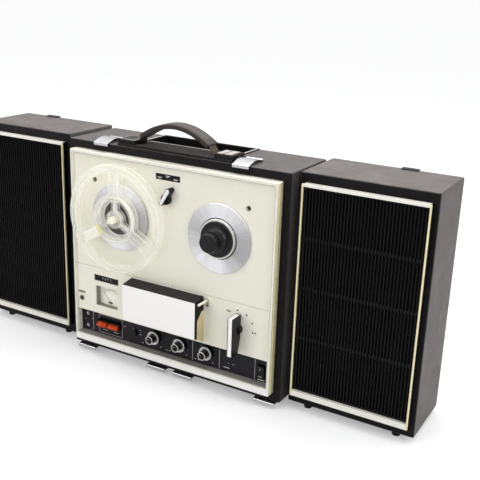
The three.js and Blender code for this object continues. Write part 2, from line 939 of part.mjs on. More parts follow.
// Lift-off cover of the head housing, open at the back and below
function headCover() {
  const back = panelFront - fit;
  const slitFront = baseFront - coverSlit;
  const slitRise = baseBoundary + coverSlit;
  const side = outline([
    [coverFront, coverFoot],
    [slitFront, coverFoot],
    [slitFront, slitRise],
    [slitFront + baseBevel, slitRise + baseBevel],
    [back, slitRise + baseBevel],
    [back, coverRoof + coverRoofRise],
    [coverFront, coverRoof],
  ]);
  const cavity = outline([
    [coverFront + coverWall, coverFoot - overrun],
    [back + overrun, coverFoot - overrun],
    [back + overrun, coverRoof + coverRoofRise - coverWall],
    [coverFront + coverWall, coverRoof - coverWall],
  ]);
  return cut(bar(side, coverLeft, coverRight), bar(cavity, coverLeft + coverWall, coverRight - coverWall));
}

function headFacePlate() {
  const sheet = rectangle(
    coverLeft + facePlateMargin,
    coverRight - facePlateMargin,
    coverFoot + facePlateMargin,
    coverRoof - facePlateMargin,
  );
  return plate(sheet, coverFront - fit, facePlateThick);
}

// Motor on three standoffs behind the chassis; its shaft carries the pulley
function motor() {
  const front = chassisBack + motorStandoff;
  const profile = [
    [motorShaftRadius + fit, front],
    [motorRadius, front],
    [motorRadius, front + motorLength],
    [motorShaftRadius + fit, front + motorLength],
  ];
  const pitch = motorRadius - standoffRadius;
  const legs = [];
  for (let i = 0; i < 3; i++) {
    const angle = Math.PI / 3 + (i * Math.PI * 2) / 3;
    const x = motorAxis + pitch * Math.cos(angle);
    const z = motorHeight + pitch * Math.sin(angle);
    legs.push(rod(x, z, standoffRadius, chassisBack + fit, front + overrun, coarse / 2));
  }
  return joined(turnedRing(profile, motorAxis, motorHeight), ...legs);
}

function motorPulley() {
  const front = beltMiddle - pulleyLength / 2;
  const back = front + pulleyLength;
  const profile = [
    [0, front],
    [pulleyRadius, front],
    [pulleyRadius, back],
    [motorShaftRadius, back],
    [motorShaftRadius, chassisBack + motorStandoff + motorLength / 2],
    [0, chassisBack + motorStandoff + motorLength / 2],
  ];
  return turned(profile, motorAxis, motorHeight, coarse);
}

// The flat loop round the flywheel and the motor pulley, grown outwards by the given amount
function beltLoop(grow) {
  const across = motorAxis - capstanAxis;
  const up = motorHeight - capstanHeight;
  const heading = Math.atan2(up, across);
  const lean = Math.acos((flywheelRadius - pulleyRadius) / Math.hypot(across, up));
  const loop = new THREE.Shape();
  const turnEnd = heading - lean + Math.PI * 2;
  loop.absarc(capstanAxis, capstanHeight, flywheelRadius + grow, heading + lean, turnEnd, false);
  loop.absarc(motorAxis, motorHeight, pulleyRadius + grow, heading - lean, heading + lean, false);
  loop.closePath();
  return loop;
}

function driveBelt() {
  const back = beltMiddle + beltWidth / 2;
  return plate(beltLoop(fit + beltThick), back, beltWidth, [beltLoop(fit)], smooth / 4);
}

// Transformer standing on the floor of the case
function powerTransformer() {
  const right = innerRight - transformerInset;
  const left = right - transformerWidth;
  const front = transformerSetback;
  const back = front + transformerDepth;
  const foot = innerFloor + fit;
  const top = foot + transformerHeight;
  const coilInset = transformerWidth / 5;
  const coreInset = transformerHeight / 6;
  return joined(
    block(left, right, front + coilProud, back - coilProud, foot, top),
    block(left + coilInset, right - coilInset, front, back, foot + coreInset, top - coreInset),
  );
}

// Amplifier board, carried by the three double controls behind the strip
function amplifierBoard() {
  const front = stripBack + fit + potDepth;
  const back = front + boardThick;
  const left = openLeft + boardSideClear;
  const right = knobFirst + knobPitch * (knobCount - 1) + boardSideClear;
  const foot = innerFloor + boardSideClear / 2;
  const top = Math.min(foot + boardHeight, chassisFoot - runFit);
  const parts = [];
  const bores = [];
  for (let i = 0; i < knobCount; i++) {
    const x = knobFirst + i * knobPitch;
    parts.push(rod(x, knobHeight, potRadius, stripBack + fit, back));
    bores.push(rod(x, knobHeight, sleeveRadius + fit, stripBack - overrun, stripBack + potDepth / 2));
  }
  const spacing = (right - left) / (capacitorCount + 1);
  const seat = front + boardThick / 2;
  const capacitorHeight = foot + capacitorRadius + boardSideClear / 3;
  for (let i = 1; i <= capacitorCount; i++) {
    parts.push(rod(left + i * spacing, capacitorHeight, capacitorRadius, seat, back + capacitorLength));
  }
  return cut(joined(block(left, right, front, back, foot, top), ...parts), ...bores);
}

// Level meter: a box open to the front, its scale at the back and a pin for the needle
function vuMeter() {
  const front = panelBack + fit;
  const floor = panelFront + meterRecess + needleThick * 2;
  const back = floor + meterWall;
  const right = meterLeft + meterWidth;
  const top = meterFoot + meterHeight;
  const foot = meterFoot - meterWall;
  const shell = block(meterLeft - meterWall, right + meterWall, front, back, foot, top + meterWall);
  const cavity = block(meterLeft, right, front - overrun, floor, meterFoot, top);
  const pin = rod(
    meterLeft + meterWidth / 2,
    meterFoot + needlePivotRise,
    needlePinRadius,
    floor - needleThick * 2 - fit * 2,
    floor + meterWall / 2,
    coarse / 2,
  );
  return joined(cut(shell, cavity), pin);
}

function vuNeedle() {
  const x = meterLeft + meterWidth / 2;
  const z = meterFoot + needlePivotRise;
  const back = panelFront + meterRecess + needleThick * 2 - fit;
  const front = back - needleThick;
  const bore = needlePinRadius + fit;
  const profile = [[bore, front], [needleHubRadius, front], [needleHubRadius, back], [bore, back]];
  const hub = turnedRing(profile, 0, 0, coarse);
  const root = (bore + needleHubRadius) / 2;
  const blade = block(-needleWidth / 2, needleWidth / 2, front, back, root, needleLength);
  const lean = THREE.MathUtils.degToRad(-needleRest);
  return joined(hub, blade).rotateY(lean).translate(x, 0, z);
}

function counterCentre() {
  return { y: panelFront + overrun + wheelRadius, z: counterFoot + counterHeight / 2 };
}

// Tape counter: a black bar in the panel with a slot, and the housing of the number wheels behind it
function tapeCounter() {
  const { y, z } = counterCentre();
  const right = counterLeft + counterWidth;
  const reach = wheelRadius + runFit;
  const nose = block(
    counterLeft + fit,
    right - fit,
    panelFront + fit,
    panelBack + overrun,
    counterFoot + fit,
    counterFoot + counterHeight - fit,
  );
  const slotLeft = counterLeft + counterSlotInset;
  const slotRight = right - counterSlotInset;
  const housing = block(
    slotLeft - counterWall,
    slotRight + counterWall,
    panelBack + fit,
    chassisFront - fit,
    z - reach - counterWall / 2,
    z + reach + counterWall / 2,
  );
  const drum = crossRod(y, z, reach, slotLeft, slotRight, medium);
  const window = block(
    slotLeft,
    slotRight,
    panelFront - overrun,
    y,
    counterFoot + counterSlotMargin,
    counterFoot + counterHeight - counterSlotMargin,
  );
  const axleReach = counterWall + overrun;
  const axle = crossRod(y, z, wheelAxleRadius + fit, slotLeft - axleReach, slotRight + axleReach, coarse / 2);
  const half = wheelRadius / 2;
  const rear = block(slotLeft, slotRight, y, chassisFront + overrun, z - half, z + half);
  return cut(joined(nose, housing), drum, window, axle, rear);
}

function counterWheels() {
  const { y, z } = counterCentre();
  const left = counterLeft + counterSlotInset + fit;
  const right = counterLeft + counterWidth - counterSlotInset - fit;
  const pitch = (right - left) / digitWheels;
  const grooves = [];
  for (let i = 1; i < digitWheels; i++) {
    const ring = turnedRing(
      [
        [wheelRadius - wheelGroove, -wheelGroove / 2],
        [wheelRadius + overrun, -wheelGroove / 2],
        [wheelRadius + overrun, wheelGroove / 2],
        [wheelRadius - wheelGroove, wheelGroove / 2],
      ],
      0,
      0,
    );
    grooves.push(ring.rotateZ(Math.PI / 2).translate(left + i * pitch, y, z));
  }
  const wheels = crossRod(y, z, wheelRadius, left, right, medium);
  const axle = crossRod(y, z, wheelAxleRadius, left - counterWall, right + counterWall, coarse / 2);
  return joined(cut(wheels, ...grooves), axle);
}

// Speed selector: a boss on the deck with a pointer whose long end shows the speed
function speedSelector() {
  const seat = panelFront - fit;
  const front = panelFront - selectorProud;
  const half = selectorWidth / 2;
  const tailHalf = selectorTailWidth / 2;
  const pointer = new THREE.Shape();
  pointer.absarc(0, selectorArm - half, half, 0, Math.PI);
  pointer.lineTo(-tailHalf, -selectorTail);
  pointer.lineTo(tailHalf, -selectorTail);
  pointer.closePath();
  const blade = plate(pointer, seat, selectorProud - fit);
  const boss = rod(0, 0, selectorBossRadius, (seat + front) / 2, seat, medium);
  const shaft = rod(0, 0, controlShaftRadius, seat - overrun, chassisBack + controlShaftRadius);
  const turn = THREE.MathUtils.degToRad(selectorAngle);
  return joined(blade, boss, shaft).rotateY(turn).translate(selectorAxis, 0, selectorHeight);
}

// Function lever: a tall blade, undercut below, on a round boss
function functionLever() {
  const seat = panelFront - runFit;
  const front = panelFront - leverProud;
  const top = leverHeight + leverArm;
  const foot = leverHeight - leverTail;
  const blade = outline([
    [front, foot],
    [seat - leverUndercut, foot],
    [seat, leverHeight - leverHeel],
    [seat, top],
    [front, top],
  ]);
  const shaftEnd = chassisBack + controlShaftRadius;
  return joined(
    bar(blade, leverAxis - leverWidth / 2, leverAxis + leverWidth / 2),
    rod(leverAxis, leverHeight, leverBossRadius, seat - leverBossLength, seat, medium),
    rod(leverAxis, leverHeight, controlShaftRadius, seat - overrun, shaftEnd),
  );
}

// Tension pin: a post through a slot in the panel, on an arm whose shaft turns in the chassis
function tensionPin() {
  const armFront = panelBack + runFit;
  const armBack = armFront + pinArmThick;
  const half = pinArmWidth / 2;
  const pivot = pinAxis + pinArmLength;
  const link = new THREE.Shape();
  link.absarc(pinAxis, pinHeight, half, Math.PI / 2, Math.PI * 1.5);
  link.absarc(pivot, pinHeight, half, -Math.PI / 2, Math.PI / 2);
  return joined(
    plate(link, armBack, pinArmThick),
    rod(pinAxis, pinHeight, pinRadius, panelFront - pinReach, armBack - pinArmThick / 2),
    rod(pivot, pinHeight, controlShaftRadius, armBack - pinArmThick / 2, chassisBack + controlShaftRadius),
  );
}

// Outer ring knob: a skirted ring on a hollow sleeve
function ringKnob(x) {
  const front = stripFront - ringProud;
  const back = stripFront - fit * 2;
  const profile = [
    [stemRadius + fit, front + ringSkirt / 2],
    [ringShoulder - ringSkirt / 2, front + ringSkirt / 2],
    [ringShoulder, front],
    [ringRadius - fit, front],
    [ringRadius, front + fit],
    [ringRadius, back],
    [sleeveRadius, back],
    [sleeveRadius, stripBack + potDepth / 4],
    [stemRadius + fit, stripBack + potDepth / 4],
  ];
  return turnedRing(profile, x, knobHeight);
}

function innerKnob(x) {
  const back = stripFront - ringProud + ringSkirt / 2 - fit;
  const front = back - innerKnobLength;
  const profile = [
    [0, front],
    [innerKnobRadius - fit, front],
    [innerKnobRadius, front + fit],
    [innerKnobRadius, back],
    [stemRadius, back],
    [stemRadius, stripBack + potDepth / 3],
    [0, stripBack + potDepth / 3],
  ];
  return turned(profile, x, knobHeight);
}

function recordKey(left) {
  const nose = stripFront - keyReach;
  const tail = keyAxleDepth + earReach;
  const top = keyFoot + keyHeight;
  const lever = outline([
    [nose, keyFoot],
    [tail, keyFoot],
    [tail, top],
    [stripFront - keyNose / 2, top],
    [nose, keyFoot + keyNose],
  ]);
  const right = left + keyWidth;
  const radius = keyAxleRadius + fit;
  const bore = crossRod(keyAxleDepth, keyAxleHeight, radius, left - overrun, right + overrun, coarse / 2);
  return cut(bar(lever, left, right), bore);
}

function slideSwitch() {
  const top = switchFoot + switchCapHeight;
  const middle = (switchFoot + top) / 2;
  const cap = block(
    switchAxis - switchCapWidth / 2,
    switchAxis + switchCapWidth / 2,
    stripFront - switchProud,
    stripFront - fit,
    switchFoot,
    top,
  );
  const stem = block(
    switchAxis - switchStemWidth / 2,
    switchAxis + switchStemWidth / 2,
    stripFront - overrun,
    stripBack + switchBackThick,
    middle - switchStemWidth / 2,
    middle + switchStemWidth / 2,
  );
  const slider = block(
    switchAxis - switchBackWidth / 2,
    switchAxis + switchBackWidth / 2,
    stripBack + fit,
    stripBack + fit + switchBackThick,
    switchFoot,
    top,
  );
  return joined(cap, stem, slider);
}

// Power rocker, dished in front and tipped to its off side
function powerRocker() {
  const half = rockerTall / 2;
  const section = outline([
    [stripBack + rockerDepth / 2, -half / 2],
    [stripBack + rockerDepth / 2, half / 2],
    [stripFront - rockerProud + rockerDish, half],
    [stripFront - rockerProud, half - rockerDish],
    [stripFront - rockerProud + rockerDish, 0],
    [stripFront - rockerProud, rockerDish - half],
    [stripFront - rockerProud + rockerDish, -half],
  ]);
  const body = bar(section, -rockerWidth / 2, rockerWidth / 2).translate(0, -stripBack, 0);
  return body.rotateX(THREE.MathUtils.degToRad(rockerAngle)).translate(rockerAxis, stripBack, rockerHeight);
}

function micJackPair() {
  const rooted = stripBack - stripThick / 2;
  const half = micBarrelRadius + micBodyMargin;
  const high = micJackLow + micJackPitch;
  const left = micJackAxis - half;
  const right = micJackAxis + half;
  const sheet = rectangle(jackPlateLeft, jackPlateRight, openFloor + fit, panelFoot + stripHidden);
  const body = block(left, right, rooted, stripBack + micBodyDepth, micJackLow - half, high + half);
  const barrelFront = stripFront - fit * 3;
  const barrel = (z) => rod(micJackAxis, z, micBarrelRadius, barrelFront, rooted);
  const bore = (z) => rod(micJackAxis, z, micBoreRadius, barrelFront - overrun, stripFront + micBoreDepth);
  const solid = joined(plate(sheet, stripBack, stripThick, []), body, barrel(micJackLow), barrel(high));
  return cut(solid, bore(micJackLow), bore(high));
}

function monitorJack() {
  const seat = panelBack + fit;
  const half = monitorBarrelRadius + overrun;
  const left = monitorAxis - half;
  const right = monitorAxis + half;
  const body = block(left, right, seat, chassisFront - fit, monitorHeight - half, monitorHeight + half);
  const barrelFront = panelFront - monitorProud;
  const barrel = rod(monitorAxis, monitorHeight, monitorBarrelRadius, barrelFront, seat + overrun);
  const bore = rod(monitorAxis, monitorHeight, monitorBoreRadius, panelFront - overrun, seat + half);
  return cut(joined(body, barrel), bore);
}

// Lid clip: a plate under the front edge of the case with a hooked lip
function lidClip(centre) {
  const top = caseFloor - fit;
  const left = centre - clipWidth / 2;
  const right = centre + clipWidth / 2;
  const section = outline([
    [clipBite, top],
    [-clipReach, top],
    [-clipReach, top - clipHook],
    [-clipReach + clipThick, top - clipHook],
    [-clipReach + clipThick, top - clipThick],
    [clipBite, top - clipThick],
  ]);
  return bar(section, left, right);
}

// Top latch: a thin arched plate, turned down over the front edge and rolled round its hinge behind
function topLatch(centre) {
  const reach = latchBack + latchOverhang;
  const pivot = caseTop + fit + latchKnuckle;
  const rise = (y) => latchRise * Math.sin((Math.PI * (y + latchOverhang)) / reach);
  const tilt = (y) => (latchDrop * (latchBack - y)) / reach;
  const upper = [];
  const lower = [];
  for (let i = 0; i <= arcSteps * 2; i++) {
    const y = -latchOverhang + (reach * i) / (arcSteps * 2);
    const z = pivot - latchThick / 2 + rise(y) - tilt(y);
    upper.push([y, z + latchThick]);
    lower.push([y, z]);
  }
  const front = -latchOverhang;
  const tip = pivot - latchThick / 2 - latchDrop;
  const hook = [[front, tip - latchLip], [front + latchThick, tip - latchLip], [front + latchThick, tip]];
  const section = outline([...hook, ...lower.slice(1), ...upper.reverse()]);
  const left = centre - latchWidth / 2;
  const right = centre + latchWidth / 2;
  return joined(bar(section, left, right), crossRod(latchBack, pivot, latchKnuckle, left, right));
}

// Handle base: a long plinth with a slotted bracket at each end
function handleBase() {
  const foot = caseTop + fit;
  const top = foot + plinthThick;
  const leftInner = plinthLeft + bracketWidth;
  const rightInner = plinthRight - bracketWidth;
  const front = plinthFront + bracketSetback;
  const crown = foot + bracketHeight;
  const slotMiddle = caseTop + bandHeight;
  const slotFront = front + (bracketDepth - bandWidth) / 2 - fit;
  const slotBack = slotFront + bandWidth + fit * 2;
  const slotFoot = slotMiddle - bandSlotHeight / 2;
  const slotTop = slotMiddle + bandSlotHeight / 2;
  return cut(
    joined(
      block(plinthLeft, plinthRight, plinthFront, plinthFront + plinthDepth, foot, top),
      block(plinthLeft, leftInner, front, front + bracketDepth, foot, crown),
      block(rightInner, plinthRight, front, front + bracketDepth, foot, crown),
    ),
    block(plinthLeft + bracketWall, leftInner + overrun, slotFront, slotBack, slotFoot, slotTop),
    block(rightInner - overrun, plinthRight - bracketWall, slotFront, slotBack, slotFoot, slotTop),
  );
}

// Height of the handle's middle line at a distance from its centre
function archHeight(x) {
  return caseTop + handleRise - gripThick / 2 - handleSag * (x / handleHalf) ** 2;
}

function archOutline(half, thick) {
  const upper = [];
  const lower = [];
  for (let i = 0; i <= archSteps; i++) {
    const x = -half + (2 * half * i) / archSteps;
    const slope = (-2 * handleSag * x) / handleHalf ** 2;
    const length = Math.hypot(1, slope);
    const z = archHeight(x);
    upper.push([x - (slope / length) * (thick / 2), z + thick / 2 / length]);
    lower.push([x + (slope / length) * (thick / 2), z - thick / 2 / length]);
  }
  return { upper, lower };
}

function handleCentre() {
  return { x: caseMiddle + handleOffset, y: plinthFront + bracketSetback + bracketDepth / 2 };
}

function handleGrip() {
  const { x, y } = handleCentre();
  const skin = archOutline(handleHalf, gripThick);
  const bore = archOutline(handleHalf + overrun, bandThick + fit * 2);
  const body = plate(outline([...skin.lower, ...skin.upper.reverse()]), y + gripWidth / 2, gripWidth);
  const sleeveWidth = bandWidth + fit * 2;
  const sleeve = plate(outline([...bore.lower, ...bore.upper.reverse()]), y + sleeveWidth / 2, sleeveWidth);
  return cut(body, sleeve).translate(x, 0, 0);
}

// Spring band through the grip, bent down at both ends to lie in the slots of the brackets
function handleBand() {
  const { x, y } = handleCentre();
  const { upper, lower } = archOutline(handleHalf, bandThick);
  const foot = caseTop + bandHeight - bandThick / 2;
  const head = foot + bandThick;
  const bend = handleHalf + bandDropRun;
  const end = bend + bandFlat;
  const rightUpper = [[bend, head], [end, head]];
  const rightLower = [[end, foot], [bend - bandThick / 2, foot]];
  const mirrored = (points) => points.map(([a, b]) => [-a, b]).reverse();
  const loop = [
    ...mirrored(rightUpper),
    ...upper,
    ...rightUpper,
    ...rightLower,
    ...[...lower].reverse(),
    ...mirrored(rightLower),
  ];
  return plate(outline(loop), y + bandWidth / 2, bandWidth).translate(x, 0, 0);
}

// Jack well: a tray let into the top of the case, with a rim, a raised socket plate and round sockets
function jackWell() {
  const left = wellLeft + fit;
  const right = wellLeft + wellWidth - fit;
  const front = wellFront + fit;
  const back = wellFront + wellDepth - fit;
  const floor = caseTop - wellSink;
  const rimTop = caseTop + fit + wellRimThick;
  const bed = floor + wellWall;
  const tray = block(left, right, front, back, floor, rimTop);
  const rimFoot = caseTop + fit;
  const rim = block(left - wellRim, right + wellRim, front - wellRim, back + wellRim, rimFoot, rimTop);
  const inner = [front + wellWall, back - wellWall];
  const hollow = block(left + wellWall, right - wellWall, ...inner, bed, rimTop + overrun);
  const plateRight = right - wellWall / 2;
  const plateFront = front + wellWall / 2;
  const socketPlate = block(
    plateRight - socketPlateWidth,
    plateRight,
    plateFront,
    plateFront + socketPlateDepth,
    bed - wellWall / 2,
    bed + socketPlateRise,
  );
  const pitch = (wellWidth - socketPlateWidth) / (socketCount + 1);
  const middle = (front + back) / 2;
  const sockets = [];
  for (let i = 1; i <= socketCount; i++) {
    sockets.push(post(left + i * pitch, middle, socketRadius, bed - wellWall / 2, bed + socketRise));
  }
  return joined(cut(joined(tray, rim), hollow), socketPlate, ...sockets);
}

// Loudspeaker cabinet: a chamber behind the baffle, and a lid recess open at the back
function speakerCabinet() {
  const top = speakerFoot + speakerHeight;
  const body = block(0, speakerWidth, 0, speakerDepth, speakerFoot, top);
  const feet = [];
  for (const x of [speakerFootSideInset, speakerWidth - speakerFootSideInset]) {
    for (const y of [speakerFootEdgeInset, speakerDepth - speakerFootEdgeInset]) {
      feet.push(post(x, y, speakerFootRadius, 0, speakerFoot + overrun));
    }
  }
  const rails = railHeights.flatMap((z) => {
    const left = trimSideInset + trimFin * 2;
    const right = speakerWidth - left;
    const zs = [speakerFoot + z - railTall / 2, speakerFoot + z + railTall / 2];
    const front = -trimProud + grilleSink + grilleThick + fit;
    return [
      block(left, right, front, front + railThick, ...zs),
      block(left, left + railEnd, front + railThick / 2, speakerWall / 2, ...zs),
      block(right - railEnd, right, front + railThick / 2, speakerWall / 2, ...zs),
    ];
  });
  const chamberBack = speakerWall + chamberDepth;
  const floor = speakerFoot + speakerWall;
  const roof = top - speakerWall;
  const chamber = block(speakerWall, speakerWidth - speakerWall, speakerWall, chamberBack, floor, roof);
  const recess = block(
    speakerWall,
    speakerWidth - speakerWall,
    chamberBack + dividerThick,
    speakerDepth + overrun,
    floor,
    roof,
  );
  const middle = speakerWidth / 2;
  const z = speakerFoot + driverHeight;
  const hole = rod(middle, z, driverHoleRadius, -overrun, speakerWall + overrun, medium);
  const seat = rod(middle, z, driverRadius + fit, -fit, driverSeat + fit, medium);
  return joined(cut(joined(body, ...feet), chamber, recess, hole, seat), ...rails);
}

function trimBounds() {
  return {
    left: trimSideInset,
    right: speakerFaces,
    foot: speakerFoot + trimBottomInset,
    top: speakerFoot + speakerHeight - trimTopInset,
  };
}

function speakerTrim() {
  const { left, right, foot, top } = trimBounds();
  const opening = rectangle(left + trimFin, right - trimFin, foot + trimBottomBar, top - trimTopBar);
  return plate(rectangle(left, right, foot, top), -fit, trimProud - fit, [opening]);
}

// Slatted grille: upright slots between slats, all joined by a border
function speakerGrille() {
  const bounds = trimBounds();
  const left = bounds.left + trimFin + fit;
  const right = bounds.right - trimFin - fit;
  const foot = bounds.foot + trimBottomBar + fit;
  const top = bounds.top - trimTopBar - fit;
  const slotCount = Math.floor((right - left - grilleEdge * 2 + slatWidth) / slatPitch);
  const slotWidth = slatPitch - slatWidth;
  const first = (left + right) / 2 - ((slotCount - 1) * slatPitch) / 2;
  const slots = [];
  for (let i = 0; i < slotCount; i++) {
    const x = first + i * slatPitch;
    slots.push(rectangle(x - slotWidth / 2, x + slotWidth / 2, foot + grilleEdge, top - grilleEdge));
  }
  const front = -trimProud + grilleSink;
  return plate(rectangle(left, right, foot, top), front + grilleThick, grilleThick, slots);
}

// Driver let into the baffle from the front, with its cone, basket and magnet
function speakerDriver() {
  const seat = driverSeat - fit;
  const front = seat - driverFlange;
  const coneRim = driverHoleRadius - speakerWall;
  const floor = front + coneDepth;
  const basket = front + basketDepth;
  const profile = [
    [0, floor - dustCapRise],
    [coneThroat / 2, floor - dustCapRise / 2],
    [coneThroat, floor],
    [coneRim, front + fit],
    [coneRim + fit, front],
    [driverRadius, front],
    [driverRadius, seat],
    [driverHoleRadius - runFit, seat],
    [coneRim, seat + driverFlange],
    [magnetRadius, basket],
    [magnetRadius, basket + magnetThick],
    [0, basket + magnetThick],
  ];
  return turned(profile, speakerWidth / 2, speakerFoot + driverHeight, medium);
}

function addSpeaker(machine, side, x, y) {
  const lid = new THREE.Group();
  lid.position.set(x, y, 0);
  piece(lid, `${side}_speaker_cabinet`, speakerCabinet(), finish.vinyl);
  piece(lid, `${side}_speaker_trim`, speakerTrim(), finish.white);
  piece(lid, `${side}_speaker_grille`, speakerGrille(), finish.blackPlastic);
  piece(lid, `${side}_speaker_driver`, speakerDriver(), finish.cone);
  machine.add(lid);
}

function addCase(deck) {
  piece(deck, "case_shell", caseShell(), finish.vinyl);
  piece(deck, "back_cover", backCover(), finish.blackPanel);
  piece(deck, "front_bezel", frontBezel(), finish.ivory);
  piece(deck, "upper_deck_plate", upperDeckPlate(), finish.ivory);
  piece(deck, "lower_panel", lowerPanel(), finish.ivory);
  piece(deck, "control_strip", controlStrip(), finish.blackPanel);
  piece(deck, "sill_lip", sillLip(), finish.lip);
  piece(deck, "chassis_plate", chassisPlate(), finish.steel);
  piece(deck, "jack_well", jackWell(), finish.steel);
  clipColumns.forEach((at, i) => piece(deck, `lid_clip_${i + 1}`, lidClip(at * column), finish.chrome));
  piece(deck, "top_latch_left", topLatch(plinthLeft - latchLeftGap - latchWidth / 2), finish.chrome);
  piece(deck, "top_latch_right", topLatch(plinthRight + latchRightGap + latchWidth / 2), finish.chrome);
  piece(deck, "handle_base", handleBase(), finish.blackPlastic);
  piece(deck, "handle_band", handleBand(), finish.steel);
  piece(deck, "handle_grip", handleGrip(), finish.grip);
}

function addTransport(deck) {
  piece(deck, "supply_turntable", turntable(supplyAxis), finish.aluminium);
  piece(deck, "supply_reel", supplyReel(), finish.clearPlastic);
  piece(deck, "takeup_turntable", turntable(takeupAxis), finish.aluminium);
  piece(deck, "takeup_cap", takeupCap(), finish.rubber);
  piece(deck, "head_stack", headStack(), finish.steel);
  piece(deck, "capstan_flywheel", capstanFlywheel(), finish.steel);
  piece(deck, "pinch_arm", pinchArm(), finish.steel);
  piece(deck, "pinch_roller", pinchRoller(), finish.rubber);
  piece(deck, "tension_pin", tensionPin(), finish.cream);
  piece(deck, "head_cover", headCover(), finish.blackPlastic);
  piece(deck, "head_face_plate", headFacePlate(), finish.white);
  piece(deck, "motor", motor(), finish.steel);
  piece(deck, "motor_pulley", motorPulley(), finish.steel);
  piece(deck, "drive_belt", driveBelt(), finish.rubber);
}

function addElectronics(deck) {
  piece(deck, "power_transformer", powerTransformer(), finish.copper);
  piece(deck, "amplifier_board", amplifierBoard(), finish.board);
  piece(deck, "vu_meter", vuMeter(), finish.cream);
  piece(deck, "vu_needle", vuNeedle(), finish.blackPlastic);
  piece(deck, "tape_counter", tapeCounter(), finish.blackPlastic);
  piece(deck, "counter_wheels", counterWheels(), finish.blackPlastic);
  piece(deck, "mic_jack_pair", micJackPair(), finish.blackPlastic);
  piece(deck, "monitor_jack", monitorJack(), finish.chrome);
}

function addControls(deck) {
  piece(deck, "speed_selector", speedSelector(), finish.blackPlastic);
  piece(deck, "function_lever", functionLever(), finish.blackPlastic);
  const knobNames = ["left", "middle", "right"];
  for (let i = 0; i < knobCount; i++) {
    const x = knobFirst + i * knobPitch;
    piece(deck, `${knobNames[i]}_ring_knob`, ringKnob(x), finish.chrome);
    piece(deck, `${knobNames[i]}_inner_knob`, innerKnob(x), finish.blackPlastic);
  }
  piece(deck, "record_key_left", recordKey(keyLeft), finish.orange);
  piece(deck, "record_key_right", recordKey(keyLeft + keyWidth + fit), finish.orange);
  piece(deck, "slide_switch", slideSwitch(), finish.blackPlastic);
  piece(deck, "power_rocker", powerRocker(), finish.blackPlastic);
}

function buildMachine() {
  const machine = new THREE.Group();
  addCase(machine);
  addTransport(machine);
  addElectronics(machine);
  addControls(machine);
  addSpeaker(machine, "left", -leftSpeakerGap - speakerWidth, leftSpeakerBack);
  addSpeaker(machine, "right", caseWidth + rightSpeakerGap, rightSpeakerBack);
  machine.updateMatrixWorld(true);
  const bounds = new THREE.Box3().setFromObject(machine);
  const middle = bounds.getCenter(new THREE.Vector3());
  machine.position.set(-middle.x, -middle.y, -bounds.min.z);
  return machine;
}

const part = new THREE.Group();
part.add(buildMachine());

export default part;
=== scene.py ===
"""Looks of a portable open-reel tape recorder and the two loudspeaker lid halves that stand beside it.

Sizes in the classes are millimetres from a datum: for the recorder its case's front left bottom corner,
for a loudspeaker its cabinet's. X runs to the right, Y to the back and Z up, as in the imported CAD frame.
PRINTED holds the depths between which a print lies on the deck plates, and HARD the angle of a hard edge.
"""

import logging
import math
from dataclasses import dataclass, replace
from enum import Enum
from typing import Callable, Iterable, Sequence

import bmesh
import bpy
from mathutils import Matrix, Vector

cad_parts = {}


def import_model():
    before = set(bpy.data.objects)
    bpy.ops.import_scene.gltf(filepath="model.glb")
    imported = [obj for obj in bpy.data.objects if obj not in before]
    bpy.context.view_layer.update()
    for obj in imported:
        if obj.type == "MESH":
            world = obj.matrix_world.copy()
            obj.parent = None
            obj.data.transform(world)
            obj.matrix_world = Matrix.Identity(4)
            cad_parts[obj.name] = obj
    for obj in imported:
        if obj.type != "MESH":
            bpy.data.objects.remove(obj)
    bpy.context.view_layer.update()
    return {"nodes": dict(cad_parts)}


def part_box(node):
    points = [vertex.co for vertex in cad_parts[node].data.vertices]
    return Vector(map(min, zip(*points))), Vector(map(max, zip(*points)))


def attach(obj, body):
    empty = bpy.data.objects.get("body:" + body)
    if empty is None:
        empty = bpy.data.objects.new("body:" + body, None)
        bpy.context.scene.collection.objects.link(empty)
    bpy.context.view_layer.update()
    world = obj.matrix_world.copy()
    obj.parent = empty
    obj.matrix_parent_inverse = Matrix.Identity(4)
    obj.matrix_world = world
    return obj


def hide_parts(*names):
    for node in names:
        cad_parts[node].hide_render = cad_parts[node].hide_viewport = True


MM = 0.001
UPRIGHT = Matrix.Rotation(math.pi / 2, 4, "X")
PRINTED = (-11.06, -10.98)
HARD = math.radians(38)
Tree = bpy.types.NodeTree
Flat = tuple[float, float]
Colour = tuple[float, float, float, float]
log = logging.getLogger("tape_recorder")
built: dict[str, bpy.types.Material] = {}


def tone(red: int, green: int, blue: int) -> Colour:
    """Linear colour of a screen colour given as three bytes.

    Args:
        red: Red byte.
        green: Green byte.
        blue: Blue byte.

    Returns:
        The colour with an alpha of 1.
    """
    def curve(byte: int) -> float:
        """Linear value of a byte."""
        value = byte / 255
        return value / 12.92 if value <= 0.04045 else ((value + 0.055) / 1.055) ** 2.4
    return (curve(red), curve(green), curve(blue), 1.0)


# Shader nodes

def node(tree: Tree, kind: str, inputs: dict | None = None, **settings: object) -> bpy.types.Node:
    """Adds a node, sets it and fills its inputs.

    Args:
        tree: Node tree that gets the node.
        kind: Node type, such as ShaderNodeMath.
        inputs: Values or sockets by input name or number.
        **settings: Attributes of the node.

    Returns:
        The new node.
    """
    made = tree.nodes.new(kind)
    for name, value in settings.items():
        setattr(made, name, value)
    for name, value in (inputs or {}).items():
        if isinstance(value, bpy.types.NodeSocket):
            tree.links.new(value, made.inputs[name])
        else:
            made.inputs[name].default_value = value
    return made


def maths(tree: Tree, operation: str, a: object, b: object = 0.0, clamp: bool = False) -> object:
    """Output of a math node on two values or sockets."""
    return node(tree, "ShaderNodeMath", {0: a, 1: b}, operation=operation, use_clamp=clamp).outputs[0]


